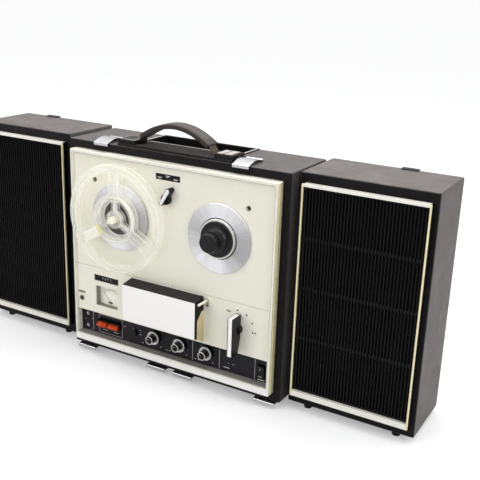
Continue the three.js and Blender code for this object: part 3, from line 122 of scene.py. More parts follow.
def blended(tree: Tree, factor: object, a: object, b: object) -> object:
    """Output of a colour mix from a to b."""
    return node(tree, "ShaderNodeMix", {0: factor, 6: a, 7: b}, data_type="RGBA").outputs[2]


def ramped(tree: Tree, value: object, low: float, high: float, to_low: float = 0.0,
           to_high: float = 1.0) -> object:
    """Output of a clamped map range."""
    inputs = {"Value": value, "From Min": low, "From Max": high, "To Min": to_low, "To Max": to_high}
    return node(tree, "ShaderNodeMapRange", inputs, clamp=True).outputs["Result"]


def noise(tree: Tree, vector: object, scale: object, detail: float = 3.0, rough: float = 0.55) -> object:
    """Value of a noise texture."""
    inputs = {"Vector": vector, "Scale": scale, "Detail": detail, "Roughness": rough}
    return node(tree, "ShaderNodeTexNoise", inputs).outputs["Fac"]


def vectors(tree: Tree, operation: str, a: object, b: object = (0, 0, 0), result: int = 0) -> object:
    """Output of a vector math node: 0 for a vector, 1 for a value."""
    return node(tree, "ShaderNodeVectorMath", {0: a, 1: b}, operation=operation).outputs[result]


def along(tree: Tree, vector: object) -> object:
    """The X, Y and Z outputs of a vector that is taken apart."""
    return node(tree, "ShaderNodeSeparateXYZ", {0: vector}).outputs


def cleared(owner: bpy.types.Material | bpy.types.World) -> Tree:
    """Empties the node tree of a material or a world.

    Args:
        owner: The material or world.

    Returns:
        Its node tree.
    """
    owner.use_nodes = True
    owner.node_tree.nodes.clear()
    return owner.node_tree


def placed(name: str, data: bpy.types.ID) -> bpy.types.Object:
    """Puts a new object in the scene.

    Args:
        name: Name of the object.
        data: Its mesh, curve, lamp or camera.

    Returns:
        The object.
    """
    made = bpy.data.objects.new(name, data)
    bpy.context.scene.collection.objects.link(made)
    return made


class Effects:
    """The shader node groups that several finishes share, each built once."""

    made: dict[str, Tree] = {}
    relief = {"Height": "Float", "Value": "Float"}

    @classmethod
    def get(cls, name: str) -> Tree:
        """Group of that name, built on first use.

        Args:
            name: Name of the group and of the method that builds it.

        Returns:
            The group.
        """
        if name not in cls.made:
            cls.made[name] = getattr(cls, name)()
        return cls.made[name]

    @staticmethod
    def blank(name: str, inputs: dict[str, str | float], outputs: dict[str, str]) -> tuple:
        """Starts a group that works from a place on the object.

        Args:
            name: Name of the group.
            inputs: Kind of each further input, or the default value of one that takes a number.
            outputs: Kind of each output.

        Returns:
            The tree, the sockets that bring its inputs, and the sockets that take its outputs.
        """
        tree = bpy.data.node_groups.new(name, "ShaderNodeTree")
        for label, kind in {"Vector": "Vector", **inputs}.items():
            plain = isinstance(kind, float)
            socket_type = "NodeSocketFloat" if plain else f"NodeSocket{kind}"
            socket = tree.interface.new_socket(label, in_out="INPUT", socket_type=socket_type)
            if plain:
                socket.default_value = kind
        for label, kind in outputs.items():
            tree.interface.new_socket(label, in_out="OUTPUT", socket_type=f"NodeSocket{kind}")
        return tree, node(tree, "NodeGroupInput").outputs, node(tree, "NodeGroupOutput").inputs

    @classmethod
    def mottling(cls) -> Tree:
        """Drift between two colours in soft patches, with a finer drift inside them.

        Returns:
            The group.
        """
        inputs = {"Colour": "Color", "Deep": "Color", "Scale": 20.0, "Amount": 0.3}
        tree, given, out = cls.blank("mottling", inputs, {"Colour": "Color", "Value": "Float"})
        broad = noise(tree, given["Vector"], given["Scale"], 4.0)
        fine = noise(tree, given["Vector"], maths(tree, "MULTIPLY", given["Scale"], 7.0), 2.0)
        value = maths(tree, "ADD", maths(tree, "MULTIPLY", broad, 0.7), maths(tree, "MULTIPLY", fine, 0.3))
        patch = ramped(tree, value, 0.35, 0.65)
        share = maths(tree, "MULTIPLY", patch, given["Amount"])
        colour = blended(tree, share, given["Colour"], given["Deep"])
        tree.links.new(colour, out["Colour"])
        tree.links.new(patch, out["Value"])
        return tree

    @classmethod
    def edge_wear(cls) -> Tree:
        """Mask that is 1 on rubbed edges and broken up along them.

        Returns:
            The group.
        """
        inputs = {"Radius": 0.001, "Scale": 60.0}
        tree, given, out = cls.blank("edge_wear", inputs, {"Mask": "Float"})
        rounded = node(tree, "ShaderNodeBevel", {"Radius": given["Radius"]}, samples=4).outputs[0]
        plain = node(tree, "ShaderNodeNewGeometry").outputs["Normal"]
        bent = maths(tree, "SUBTRACT", 1.0, vectors(tree, "DOT_PRODUCT", rounded, plain, 1))
        edge = ramped(tree, bent, 0.01, 0.12)
        broken = ramped(tree, noise(tree, given["Vector"], given["Scale"], 5.0, 0.7), 0.4, 0.62)
        tree.links.new(maths(tree, "MULTIPLY", edge, broken), out["Mask"])
        return tree

    @classmethod
    def dust_and_painted_light(cls) -> Tree:
        """Mask of dust that lies on what faces up, and clings to the left and right faces; it also paints
        light and shade on those faces.

        Returns:
            The group.
        """
        inputs = {"Amount": 0.2, "Sides": 0.0}
        tree, given, out = cls.blank("dust_and_painted_light", inputs, {"Mask": "Float"})
        normal = along(tree, node(tree, "ShaderNodeNewGeometry").outputs["Normal"])
        sideways = ramped(tree, maths(tree, "ABSOLUTE", normal["X"]), 0.6, 0.98)
        side_dust_and_light = maths(tree, "MULTIPLY", sideways, given["Sides"])
        facing = maths(tree, "MAXIMUM", ramped(tree, normal["Z"], 0.35, 0.95), side_dust_and_light)
        specks = ramped(tree, noise(tree, given["Vector"], 420.0, 4.0, 0.7), 0.45, 0.7, 0.0, 0.4)
        dust_and_light_film = ramped(tree, noise(tree, given["Vector"], 34.0, 5.0, 0.7), 0.0, 0.9)
        dust_and_light_share = maths(tree, "MULTIPLY", facing, maths(tree, "ADD", specks, dust_and_light_film))
        tree.links.new(maths(tree, "MULTIPLY", dust_and_light_share, given["Amount"], True), out["Mask"])
        return tree

    @classmethod
    def leather_grain(cls) -> Tree:
        """Pebbled grain of leathercloth: raised cells between fine creases.

        Returns:
            The group.
        """
        tree, given, out = cls.blank("leather_grain", {"Scale": 900.0}, cls.relief)
        bend = node(tree, "ShaderNodeTexNoise", {"Vector": given["Vector"], "Scale": 500.0, "Detail": 1.0})
        push = vectors(tree, "MULTIPLY", bend.outputs["Color"], (0.0012,) * 3)
        inputs = {"Vector": vectors(tree, "ADD", given["Vector"], push), "Scale": given["Scale"]}
        cells = node(tree, "ShaderNodeTexVoronoi", inputs, feature="DISTANCE_TO_EDGE").outputs["Distance"]
        height = ramped(tree, cells, 0.0, 0.28)
        tree.links.new(height, out["Height"])
        tree.links.new(ramped(tree, cells, 0.0, 0.12), out["Value"])
        return tree

    @classmethod
    def fine_grain(cls) -> Tree:
        """Even grain of a moulded or cast surface.

        Returns:
            The group.
        """
        tree, given, out = cls.blank("fine_grain", {"Scale": 1200.0}, cls.relief)
        value = noise(tree, given["Vector"], given["Scale"], 3.0, 0.6)
        tree.links.new(value, out["Height"])
        tree.links.new(ramped(tree, value, 0.4, 0.66), out["Value"])
        return tree

    @classmethod
    def brushing(cls) -> Tree:
        """Fine lines along X, as brushed metal has.

        Returns:
            The group.
        """
        tree, given, out = cls.blank("brushing", {"Scale": 1500.0}, cls.relief)
        drawn = vectors(tree, "MULTIPLY", given["Vector"], (0.02, 1.0, 1.0))
        lines = noise(tree, drawn, given["Scale"], 4.0)
        tree.links.new(lines, out["Height"])
        tree.links.new(ramped(tree, lines, 0.35, 0.7), out["Value"])
        return tree

    @classmethod
    def turning(cls) -> Tree:
        """Turned face: fine rings round an axis along Y, and soft fans of painted reflection.

        Returns:
            The group.
        """
        inputs = {"Centre": "Vector", "Scale": 2600.0}
        tree, given, out = cls.blank("turning", inputs, cls.relief)
        offset = vectors(tree, "SUBTRACT", given["Vector"], given["Centre"])
        level = vectors(tree, "MULTIPLY", offset, (1.0, 0.0, 1.0))
        inputs = {"W": vectors(tree, "LENGTH", level, result=1), "Scale": given["Scale"], "Detail": 2.0}
        rings = node(tree, "ShaderNodeTexNoise", inputs, noise_dimensions="1D").outputs["Fac"]
        parts = along(tree, offset)
        # Painted reflection: fans by angle, broken by streaks along the spokes, darken the colour in sectors.
        angle = maths(tree, "ARCTAN2", parts["Z"], parts["X"])
        swing = maths(tree, "COSINE", maths(tree, "SUBTRACT", maths(tree, "MULTIPLY", angle, 2.0), 2.75))
        spoke = vectors(tree, "NORMALIZE", level)
        streaks = maths(tree, "SUBTRACT", noise(tree, spoke, 5.0, 3.0, 0.6), 0.5)
        lean = maths(tree, "MULTIPLY", maths(tree, "COSINE", angle), -0.22)
        painted_fans = maths(tree, "ADD", maths(tree, "MULTIPLY", swing, 0.5), maths(tree, "MULTIPLY", streaks, 1.3))
        painted_fans = maths(tree, "ADD", painted_fans, lean)
        tree.links.new(rings, out["Height"])
        tree.links.new(maths(tree, "ADD", painted_fans, 0.55, True), out["Value"])
        return tree


class Texture(Enum):
    """Relief of a finish, named by its node group."""

    GRAIN = "fine_grain"
    LEATHER = "leather_grain"
    BRUSHED = "brushing"
    TURNED = "turning"


class Surface:
    """What the kinds of finish share: each gives one material, from its own shader."""

    name: str
    slot: str

    def material(self) -> bpy.types.Material:
        """Material of this finish, built on first use.

        Returns:
            The material.
        """
        if self.name not in built:
            made = bpy.data.materials.new(self.name)
            tree = cleared(made)
            place = node(tree, "ShaderNodeTexCoord").outputs["Object"]
            node(tree, "ShaderNodeOutputMaterial", {"Surface": self.shader(tree, place)})
            built[self.name] = made
        return built[self.name]

    def shader(self, tree: Tree, place: object) -> object:
        """Output of the shader, built from the place on the object."""
        raise NotImplementedError


@dataclass(frozen=True)
class Finish(Surface):
    """A surface finish: its record slot, its colours and gloss, and the effects that dress it."""

    name: str
    slot: str
    colour: Colour
    deep: Colour
    roughness: float = 0.45
    metallic: float = 0.0
    specular: float = 0.5
    sheen: float = 0.0
    anisotropy: float = 0.0
    patch_scale: float = 18.0
    patches: float = 0.5
    texture: Texture = Texture.GRAIN
    texture_scale: float = 1200.0
    relief: float = 0.03
    shade: float = 0.12
    gloss_drift: float = 0.12
    wear: float = 0.0
    wear_colour: Colour = (0.5, 0.5, 0.5, 1.0)
    dust_and_painted_light: float = 0.0
    side_dust_and_painted_light: float = 0.0
    dust_and_painted_light_colour: Colour = (0.42, 0.4, 0.38, 1.0)
    centre: tuple[float, float, float] | None = None

    def shader(self, tree: Tree, place: object) -> object:
        """Colours in patches, relief, worn edges, and dust that also paints light and shade.

        Args:
            tree: Node tree of the material.
            place: Socket of the place on the object.

        Returns:
            The shader's output.
        """
        mottled = self.effect(tree, "mottling", {"Vector": place, "Colour": self.colour, "Deep": self.deep,
                                                 "Scale": self.patch_scale, "Amount": self.patches})
        inputs = {"Vector": place, "Scale": self.texture_scale}
        if self.centre:
            inputs["Centre"] = self.centre
        relief = self.effect(tree, self.texture.value, inputs)
        dark = tuple(part * 0.35 for part in self.colour[:3]) + (1.0,)
        shade = maths(tree, "MULTIPLY", maths(tree, "SUBTRACT", 1.0, relief["Value"]), self.shade)
        colour = blended(tree, shade, mottled["Colour"], dark)
        drift = maths(tree, "SUBTRACT", mottled["Value"], 0.5)
        drift = maths(tree, "MULTIPLY", drift, self.gloss_drift)
        roughness = maths(tree, "ADD", drift, self.roughness)
        if self.wear:
            worn_and_lit = self.effect(tree, "edge_wear", {"Vector": place, "Radius": 0.0009})
            mask = maths(tree, "MULTIPLY", worn_and_lit["Mask"], self.wear)
            colour = blended(tree, mask, colour, self.wear_colour)
        # The dust mask also serves as painted light and shade on the faces it covers.
        if self.dust_and_painted_light:
            dust_and_light_inputs = {"Vector": place, "Amount": self.dust_and_painted_light, "Sides": self.side_dust_and_painted_light}
            dust_and_light_film = self.effect(tree, "dust_and_painted_light", dust_and_light_inputs)["Mask"]
            colour = blended(tree, dust_and_light_film, colour, self.dust_and_painted_light_colour)
            roughness = maths(tree, "ADD", roughness, maths(tree, "MULTIPLY", dust_and_light_film, 0.3))
        bump = node(tree, "ShaderNodeBump", {"Strength": 1.0, "Distance": self.relief * MM,
                                             "Height": relief["Height"]})
        shader = node(tree, "ShaderNodeBsdfPrincipled", {
            "Base Color": colour, "Roughness": roughness, "Metallic": self.metallic,
            "Normal": bump.outputs[0], "Specular IOR Level": self.specular, "Sheen Weight": self.sheen,
            "Sheen Roughness": 0.4, "Sheen Tint": self.dust_and_painted_light_colour, "Anisotropic": self.anisotropy})
        if self.anisotropy:
            tangent = node(tree, "ShaderNodeTangent", direction_type="RADIAL", axis="Y")
            tree.links.new(tangent.outputs[0], shader.inputs["Tangent"])
        return shader.outputs[0]

    @staticmethod
    def effect(tree: Tree, name: str, inputs: dict) -> object:
        """Outputs of a shared group, placed in a material with this finish's values."""
        return node(tree, "ShaderNodeGroup", inputs, node_tree=Effects.get(name)).outputs


@dataclass(frozen=True)
class Clear(Surface):
    """Clear plastic that light falls through without a hard shadow."""

    name: str
    slot: str
    colour: Colour
    roughness: float = 0.04
    shadow_pass: float = 0.85
    face_haze: float = 0.12
    side_haze: float = 0.8

    def shader(self, tree: Tree, place: object) -> object:
        """Clear faces, milky side walls, and shadows that let light through.

        Args:
            tree: Node tree of the material.
            place: Socket of the place on the object.

        Returns:
            The shader's output.
        """
        smears = noise(tree, place, 40.0, 4.0, 0.65)
        smears = ramped(tree, smears, 0.4, 0.75, self.roughness, self.roughness + 0.1)
        shader = node(tree, "ShaderNodeBsdfPrincipled", {
            "Base Color": self.colour, "Roughness": smears, "IOR": 1.49, "Transmission Weight": 1.0})
        normal = node(tree, "ShaderNodeNewGeometry").outputs["Normal"]
        facing = maths(tree, "ABSOLUTE", along(tree, normal)["Y"])
        haze = ramped(tree, facing, 0.35, 0.95, self.side_haze, self.face_haze)
        white = node(tree, "ShaderNodeBsdfDiffuse", {"Color": self.colour})
        through = node(tree, "ShaderNodeBsdfTranslucent", {"Color": self.colour})
        milk = node(tree, "ShaderNodeMixShader", {0: 0.5, 1: white.outputs[0], 2: through.outputs[0]})
        body = node(tree, "ShaderNodeMixShader", {0: haze, 1: shader.outputs[0], 2: milk.outputs[0]})
        passing = node(tree, "ShaderNodeBsdfTransparent", {"Color": self.colour})
        shadow = node(tree, "ShaderNodeLightPath").outputs["Is Shadow Ray"]
        factor = maths(tree, "MULTIPLY", shadow, self.shadow_pass)
        mixed = node(tree, "ShaderNodeMixShader", {0: factor, 1: body.outputs[0], 2: passing.outputs[0]})
        return mixed.outputs[0]


class Looks:
    """Every finish of the recorder and its loudspeakers."""

    # Its dust on faces that look up and to the sides is partly real dust and partly painted light.
    vinyl = Finish(
        "black_leathercloth", "black_vinyl", tone(17, 15, 17), tone(13, 11, 13), 0.42, specular=0.12,
        sheen=0.35, texture=Texture.LEATHER, texture_scale=1100.0, relief=0.12, shade=0.3, wear=0.5,
        wear_colour=tone(104, 96, 94), dust_and_painted_light=0.3, side_dust_and_painted_light=0.15, dust_and_painted_light_colour=tone(181, 175, 172))
    # More dust on the lid halves' sides: partly real dust, partly painted light on faces lit from the side.
    lid_vinyl = replace(
        vinyl, name="lid_leathercloth", dust_and_painted_light=0.37, side_dust_and_painted_light=0.78, dust_and_painted_light_colour=tone(184, 175, 173))
    board = Finish(
        "brown_hardboard", "back_board", tone(58, 45, 36), tone(44, 33, 27), 0.6, texture_scale=500.0,
        relief=0.08, shade=0.3, wear=0.3, wear_colour=tone(110, 92, 74))
    bezel = Finish(
        "ivory_moulding", "ivory_moulding", tone(240, 238, 228), tone(230, 225, 204), 0.32, patches=0.6,
        relief=0.004, shade=0.03, wear=0.35, wear_colour=tone(186, 176, 140))
    stained = Finish(
        "stained_moulding", "ivory_moulding", tone(186, 180, 138), tone(150, 142, 98), 0.45, patches=0.9,
        patch_scale=60.0, relief=0.004)
    plate = Finish(
        "ivory_enamel", "ivory_plate", tone(241, 239, 225), tone(236, 233, 214), 0.4, patches=0.6,
        relief=0.006, shade=0.03, wear=0.2, wear_colour=tone(180, 172, 150))
    strip = Finish(
        "enamelled_strip", "black_strip", tone(40, 38, 42), tone(34, 32, 37), 0.4, specular=0.12,
        relief=0.006, shade=0.2, wear=0.2, wear_colour=tone(90, 88, 90))
    lip = Finish(
        "brushed_lip", "grey_lip", tone(206, 201, 196), tone(84, 76, 70), 0.4, metallic=0.35,
        texture=Texture.BRUSHED, texture_scale=240.0, relief=0.02, shade=0.95)
    chassis = Finish(
        "plated_steel", "chassis_steel", tone(168, 170, 168), tone(140, 141, 136), 0.38, metallic=0.9,
        texture=Texture.BRUSHED, texture_scale=900.0, relief=0.02, shade=0.2)
    rim = Finish(
        "pale_rim", "well_metal", tone(206, 202, 200), tone(176, 170, 168), 0.36, metallic=0.4,
        texture=Texture.BRUSHED, relief=0.01, shade=0.15, wear=0.3, wear_colour=tone(120, 112, 106))
    chrome = Finish(
        "chrome", "chrome_plate", tone(228, 228, 230), tone(204, 204, 206), 0.14, metallic=1.0, relief=0.002,
        shade=0.03, gloss_drift=0.08)
    black = Finish(
        "black_moulding", "black_plastic", tone(18, 17, 18), tone(13, 12, 13), 0.34, specular=0.2,
        relief=0.008, shade=0.2, wear=0.25, wear_colour=tone(88, 86, 84))
    speckled = Finish(
        "speckled_black", "black_plastic", tone(24, 23, 24), tone(14, 13, 14), 0.5, specular=0.12,
        texture_scale=600.0, relief=0.03, shade=0.6, dust_and_painted_light=0.05, wear=0.3, wear_colour=tone(96, 94, 94))
    band = Finish(
        "bronze_steel", "band_steel", tone(78, 64, 52), tone(54, 44, 37), 0.36, metallic=0.6,
        texture=Texture.BRUSHED, relief=0.01, shade=0.4)
    grip = Finish(
        "brown_grip", "grip_plastic", tone(58, 51, 48), tone(48, 42, 40), 0.46, specular=0.2,
        texture_scale=600.0, relief=0.03, shade=0.25, wear=0.35, wear_colour=tone(112, 104, 98), dust_and_painted_light=0.06)
    # Its strong shade turns the turned face's painted reflection fans into grey and bright sectors.
    spun = Finish(
        "spun_aluminium", "spun_aluminium", tone(246, 246, 248), tone(240, 240, 243), 0.36, metallic=0.35,
        anisotropy=0.6, texture=Texture.TURNED, texture_scale=700.0, relief=0.001, shade=0.8,
        gloss_drift=0.05)
    clear = Clear("clear_styrene", "clear_plastic", tone(253, 253, 250))
    bead = Clear("moulded_beads", "clear_plastic", tone(255, 254, 249), face_haze=0.6, side_haze=0.9)
    rubber = Finish(
        "worn_rubber", "black_rubber", tone(13, 12, 13), tone(20, 19, 20), 0.3, specular=0.3,
        texture_scale=900.0, relief=0.015, shade=0.2)
    head = Finish(
        "polished_head_steel", "head_steel", tone(176, 172, 168), tone(140, 134, 128), 0.26, metallic=0.9,
        texture=Texture.BRUSHED, relief=0.01, shade=0.2)
    cream = Finish(
        "cream_moulding", "cream_plastic", tone(244, 240, 224), tone(232, 224, 196), 0.36, relief=0.005,
        shade=0.04, patch_scale=40.0)
    # Cream darkened to tan: painted shade for the head housing and round the tension pin.
    tan = Finish(
        "cream_painted_shade", "ivory_plate", tone(222, 209, 168), tone(202, 184, 132), 0.42, relief=0.005,
        patch_scale=30.0, patches=0.8)
    white = Finish(
        "white_enamel", "white_plate", tone(248, 247, 245), tone(245, 244, 241), 0.34, relief=0.0, shade=0.0,
        patches=0.2, gloss_drift=0.02)
    iron = Finish(
        "varnished_iron", "transformer_iron", tone(92, 66, 50), tone(60, 52, 48), 0.45, metallic=0.4,
        texture=Texture.BRUSHED, texture_scale=1500.0, relief=0.08, shade=0.5)
    circuit = Finish(
        "brown_board", "circuit_board", tone(150, 116, 66), tone(118, 88, 48), 0.5, texture_scale=300.0,
        relief=0.05, shade=0.3)
    # The meter box's olive is painted shade, the dark of its walls inside the window.
    meter = Finish(
        "meter_box_painted_shade", "meter_white", tone(112, 108, 76), tone(88, 82, 56), 0.5, relief=0.01, shade=0.1)
    card = Finish(
        "meter_card", "meter_white", tone(250, 250, 246), tone(244, 242, 234), 0.6, relief=0.002, shade=0.02)
    needle = Finish("needle_enamel", "black_plastic", tone(190, 187, 178), tone(176, 172, 162), 0.4)
    knob = Finish(
        "knob_aluminium", "knob_metal", tone(240, 239, 237), tone(224, 222, 219), 0.3, metallic=0.45,
        relief=0.003, shade=0.1)
    # The keys' large deep patches are painted shade on the orange.
    orange = Finish(
        "orange_key", "orange_plastic", tone(214, 72, 16), tone(150, 40, 10), 0.34, specular=0.25,
        relief=0.005, shade=0.06, patches=0.8, patch_scale=110.0, wear=0.25, wear_colour=tone(232, 120, 80))
    # Its heavy dust darkens the bars' faces that look up: painted shade on the white trim.
    trim = Finish(
        "white_trim", "speaker_trim", tone(242, 241, 234), tone(235, 232, 218), 0.38, specular=0.25,
        relief=0.004, shade=0.03, wear=0.2, wear_colour=tone(190, 184, 164), dust_and_painted_light=1.6,
        dust_and_painted_light_colour=tone(198, 195, 187))
    fin = Finish(
        "yellowed_trim", "speaker_trim", tone(240, 231, 190), tone(226, 216, 162), 0.4, relief=0.004,
        shade=0.05, wear=0.3, wear_colour=tone(176, 164, 120))
    slat = Finish(
        "black_slats", "grille_black", tone(15, 14, 15), tone(10, 9, 10), 0.34, specular=0.14, relief=0.006,
        shade=0.2)
    rail = Finish("dark_rails", "grille_black", tone(58, 56, 58), tone(46, 44, 46), 0.4, specular=0.3)
    driver = Finish(
        "paper_cone", "driver_metal", tone(30, 28, 26), tone(24, 22, 20), 0.75, specular=0.2,
        texture_scale=700.0, relief=0.08, shade=0.3)
    print = Finish(
        "pale_print", "black_strip", tone(222, 221, 218), tone(204, 202, 198), 0.5, relief=0.0, shade=0.05)
    dark_print = Finish(
        "dark_print", "ivory_plate", tone(52, 47, 43), tone(66, 60, 54), 0.5, relief=0.0, shade=0.05)


# Mesh making

class Axis(Enum):
    """Direction that a turned piece's axis or a loft's depth takes."""

    X = 0
    Y = 1
    Z = 2

    def point(self, a: float, b: float, depth: float) -> Vector:
        """Makes a point from coordinates across the axis and along it.

        Args:
            a: First coordinate across the axis, in the order X, Y, Z.
            b: Second coordinate across it.
            depth: Coordinate along it.

        Returns:
            The point.
        """
        parts = [a, b]
        parts.insert(self.value, depth)
        return Vector(parts)


def circle(x: float, z: float, radius: float, steps: int = 48, start: float = 0.0,
           turn: float = math.tau) -> list[Flat]:
    """Draws a circle, or an arc with both its ends.

    Args:
        x: X of the centre.
        z: Z of the centre.
        radius: Radius.
        steps: Number of spans.
        start: Angle of the first point.
        turn: Angle that the arc runs through.

    Returns:
        The points.
    """
    count = steps if turn == math.tau else steps + 1
    return [(x + radius * math.cos(start + turn * i / steps), z + radius * math.sin(start + turn * i / steps))
            for i in range(count)]


def rectangle(x0: float, x1: float, z0: float, z1: float, radius: float = 0.0, steps: int = 6) -> list[Flat]:
    """Draws a rectangle with rounded corners.

    Args:
        x0: Left side.
        x1: Right side.
        z0: Lower side.
        z1: Upper side.
        radius: Radius of the corners, or 0 for sharp ones.
        steps: Number of spans in a corner.

    Returns:
        The points, counterclockwise.
    """
    if radius <= 0:
        return [(x0, z0), (x1, z0), (x1, z1), (x0, z1)]
    points = []
    for i, (x, z) in enumerate([(x1 - radius, z0 + radius), (x1 - radius, z1 - radius),
                                (x0 + radius, z1 - radius), (x0 + radius, z0 + radius)]):
        points += circle(x, z, radius, steps, (i - 1) * math.pi / 2, math.pi / 2)
    return points


class Draft:
    """A mesh in the making, in millimetres from a datum."""

    def __init__(self) -> None:
        """Starts with no faces."""
        self.mesh = bmesh.new()

    def loft(self, rings: Sequence[Sequence[Vector]], closed: bool = False, capped: bool = True) -> "Draft":
        """Skins rings of equally many points; a ring of one point is a tip.

        Args:
            rings: The rings in order.
            closed: Whether the last ring joins the first.
            capped: Whether the end rings are filled.

        Returns:
            The draft itself.
        """
        made = [[self.mesh.verts.new(point) for point in ring] for ring in rings]
        pairs = list(zip(made, made[1:])) + ([(made[-1], made[0])] if closed else [])
        for a, b in pairs:
            count = max(len(a), len(b))
            for i in range(count):
                j = (i + 1) % count
                corners = [a[i % len(a)], a[j % len(a)], b[j % len(b)], b[i % len(b)]]
                unique = list(dict.fromkeys(corners))
                if len(unique) > 2:
                    self.mesh.faces.new(unique)
        if capped and not closed:
            for ring in (made[0], made[-1]):
                if len(ring) > 2:
                    self.mesh.faces.new(ring)
        return self

    def block(self, x0: float, x1: float, y0: float, y1: float, z0: float, z1: float) -> "Draft":
        """Adds a box between two faces along each axis."""
        return self.loft([[Axis.Y.point(x, z, y) for x, z in rectangle(x0, x1, z0, z1)] for y in (y0, y1)])

    def slab(self, outline: Sequence[Flat], y0: float, y1: float) -> "Draft":
        """Adds a slab from an outline in X and Z."""
        return self.loft([[Axis.Y.point(x, z, y) for x, z in outline] for y in (y0, y1)])

    def bar(self, section: Sequence[Flat], x0: float, x1: float) -> "Draft":
        """Adds a bar along X from a section in Y and Z."""
        return self.loft([[Axis.X.point(y, z, x) for y, z in section] for x in (x0, x1)])

    def stack(self, levels: Sequence[tuple[Sequence[Flat], float]], axis: Axis = Axis.Y,
              closed: bool = False) -> "Draft":
        """Skins outlines at given depths along an axis."""
        return self.loft([[axis.point(a, b, depth) for a, b in outline] for outline, depth in levels], closed)

    def turned(self, profile: Sequence[Flat], a: float, b: float, axis: Axis = Axis.Y, steps: int = 64,
               closed: bool = False) -> "Draft":
        """Turns a profile round an axis.

        Args:
            profile: Pairs of radius and depth.
            a: First coordinate of the axis.
            b: Second coordinate of the axis.
            axis: Direction of the axis.
            steps: Number of spans round it.
            closed: Whether the profile closes on itself, as one with a bore does.

        Returns:
            The draft itself.
        """
        rings = []
        for radius, depth in profile:
            ring = [(a, b)] if radius < 1e-6 else circle(a, b, radius, steps)
            rings.append([axis.point(u, v, depth) for u, v in ring])
        return self.loft(rings, closed)

    def pierced(self, outline: Sequence[Flat], holes: Iterable[Sequence[Flat]], y0: float, y1: float,
                edge: float = 0.3) -> "Draft":
        """Adds a slab with holes through it and rounded edges.

        Args:
            outline: Outer outline in X and Z, counterclockwise.
            holes: Outlines of the holes, counterclockwise.
            y0: Front depth.
            y1: Back depth.
            edge: Radius of the rounded edges.

        Returns:
            The draft itself.
        """
        curve = bpy.data.curves.new("slab", "CURVE")
        curve.dimensions = "2D"
        curve.fill_mode = "BOTH"
        curve.extrude = (y1 - y0) / 2 - edge
        curve.bevel_depth = edge
        curve.bevel_resolution = 1
        curve.offset = -edge
        for points in [list(outline), *[list(reversed(hole)) for hole in holes]]:
            spline = curve.splines.new("POLY")
            spline.points.add(len(points) - 1)
            for point, (x, z) in zip(spline.points, points):
                point.co = (x, z, 0.0, 1.0)
            spline.use_cyclic_u = True
        self.traced(curve, (0, (y0 + y1) / 2, 0))
        bmesh.ops.remove_doubles(self.mesh, verts=self.mesh.verts, dist=0.001)
        return self

    def numeral(self, text: str, size: float, x: float, y: float, z: float, thick: float = 0.05) -> "Draft":
        """Adds plain numbers or marks that face the front.

        Args:
            text: The numbers or marks.
            size: Height of the type.
            x: X of the middle.
            y: Y of the middle.
            z: Z of the middle.
            thick: Half of the thickness.

        Returns:
            The draft itself.
        """
        curve = bpy.data.curves.new("numeral", "FONT")
        curve.body = text
        curve.size = size
        curve.extrude = thick
        curve.align_x = "CENTER"
        curve.align_y = "CENTER"
        curve.resolution_u = 2
        return self.traced(curve, (x, y, z))

    def traced(self, curve: bpy.types.Curve, place: Sequence[float]) -> "Draft":
        """Adds the mesh of a flat curve, stood upright.

        Args:
            curve: The curve, which is spent.
            place: Where its origin goes.

        Returns:
            The draft itself.
        """
        holder = placed(curve.name, curve)
        bpy.context.view_layer.update()
        flat = bpy.data.meshes.new_from_object(holder)
        flat.transform(Matrix.Translation(place) @ UPRIGHT)
        self.mesh.from_mesh(flat)
        bpy.data.objects.remove(holder)
        bpy.data.curves.remove(curve)
        bpy.data.meshes.remove(flat)
        return self

    def merged(self, other: "Draft") -> "Draft":
        """Adds all of another draft.

        Args:
            other: The other draft, which is spent.

        Returns:
            The draft itself.
        """
        mesh = bpy.data.meshes.new("merged")
        other.mesh.to_mesh(mesh)
        other.mesh.free()
        self.mesh.from_mesh(mesh)
        bpy.data.meshes.remove(mesh)
        return self

    def turn(self, degrees: float, centre: Sequence[float] = (0, 0, 0), axis: str = "Y") -> "Draft":
        """Turns all that is drafted so far round a centre.

        Args:
            degrees: Angle of the turn.
            centre: Point that stays in place.
            axis: Letter of the axis.

        Returns:
            The draft itself.
        """
        spin = Matrix.Rotation(math.radians(degrees), 4, axis)
        matrix = Matrix.Translation(centre) @ spin @ Matrix.Translation(-Vector(centre))
        bmesh.ops.transform(self.mesh, matrix=matrix, verts=self.mesh.verts)
        return self

    def moved(self, x: float, y: float, z: float) -> "Draft":
        """Moves all that is drafted so far."""
        return self.shaped(lambda point: point + Vector((x, y, z)))

    def shaped(self, move: Callable[[Vector], Vector]) -> "Draft":
        """Moves every point by a rule.

        Args:
            move: Gives a point's new place.

        Returns:
            The draft itself.
        """
        for vert in self.mesh.verts:
            vert.co = move(vert.co)
        return self


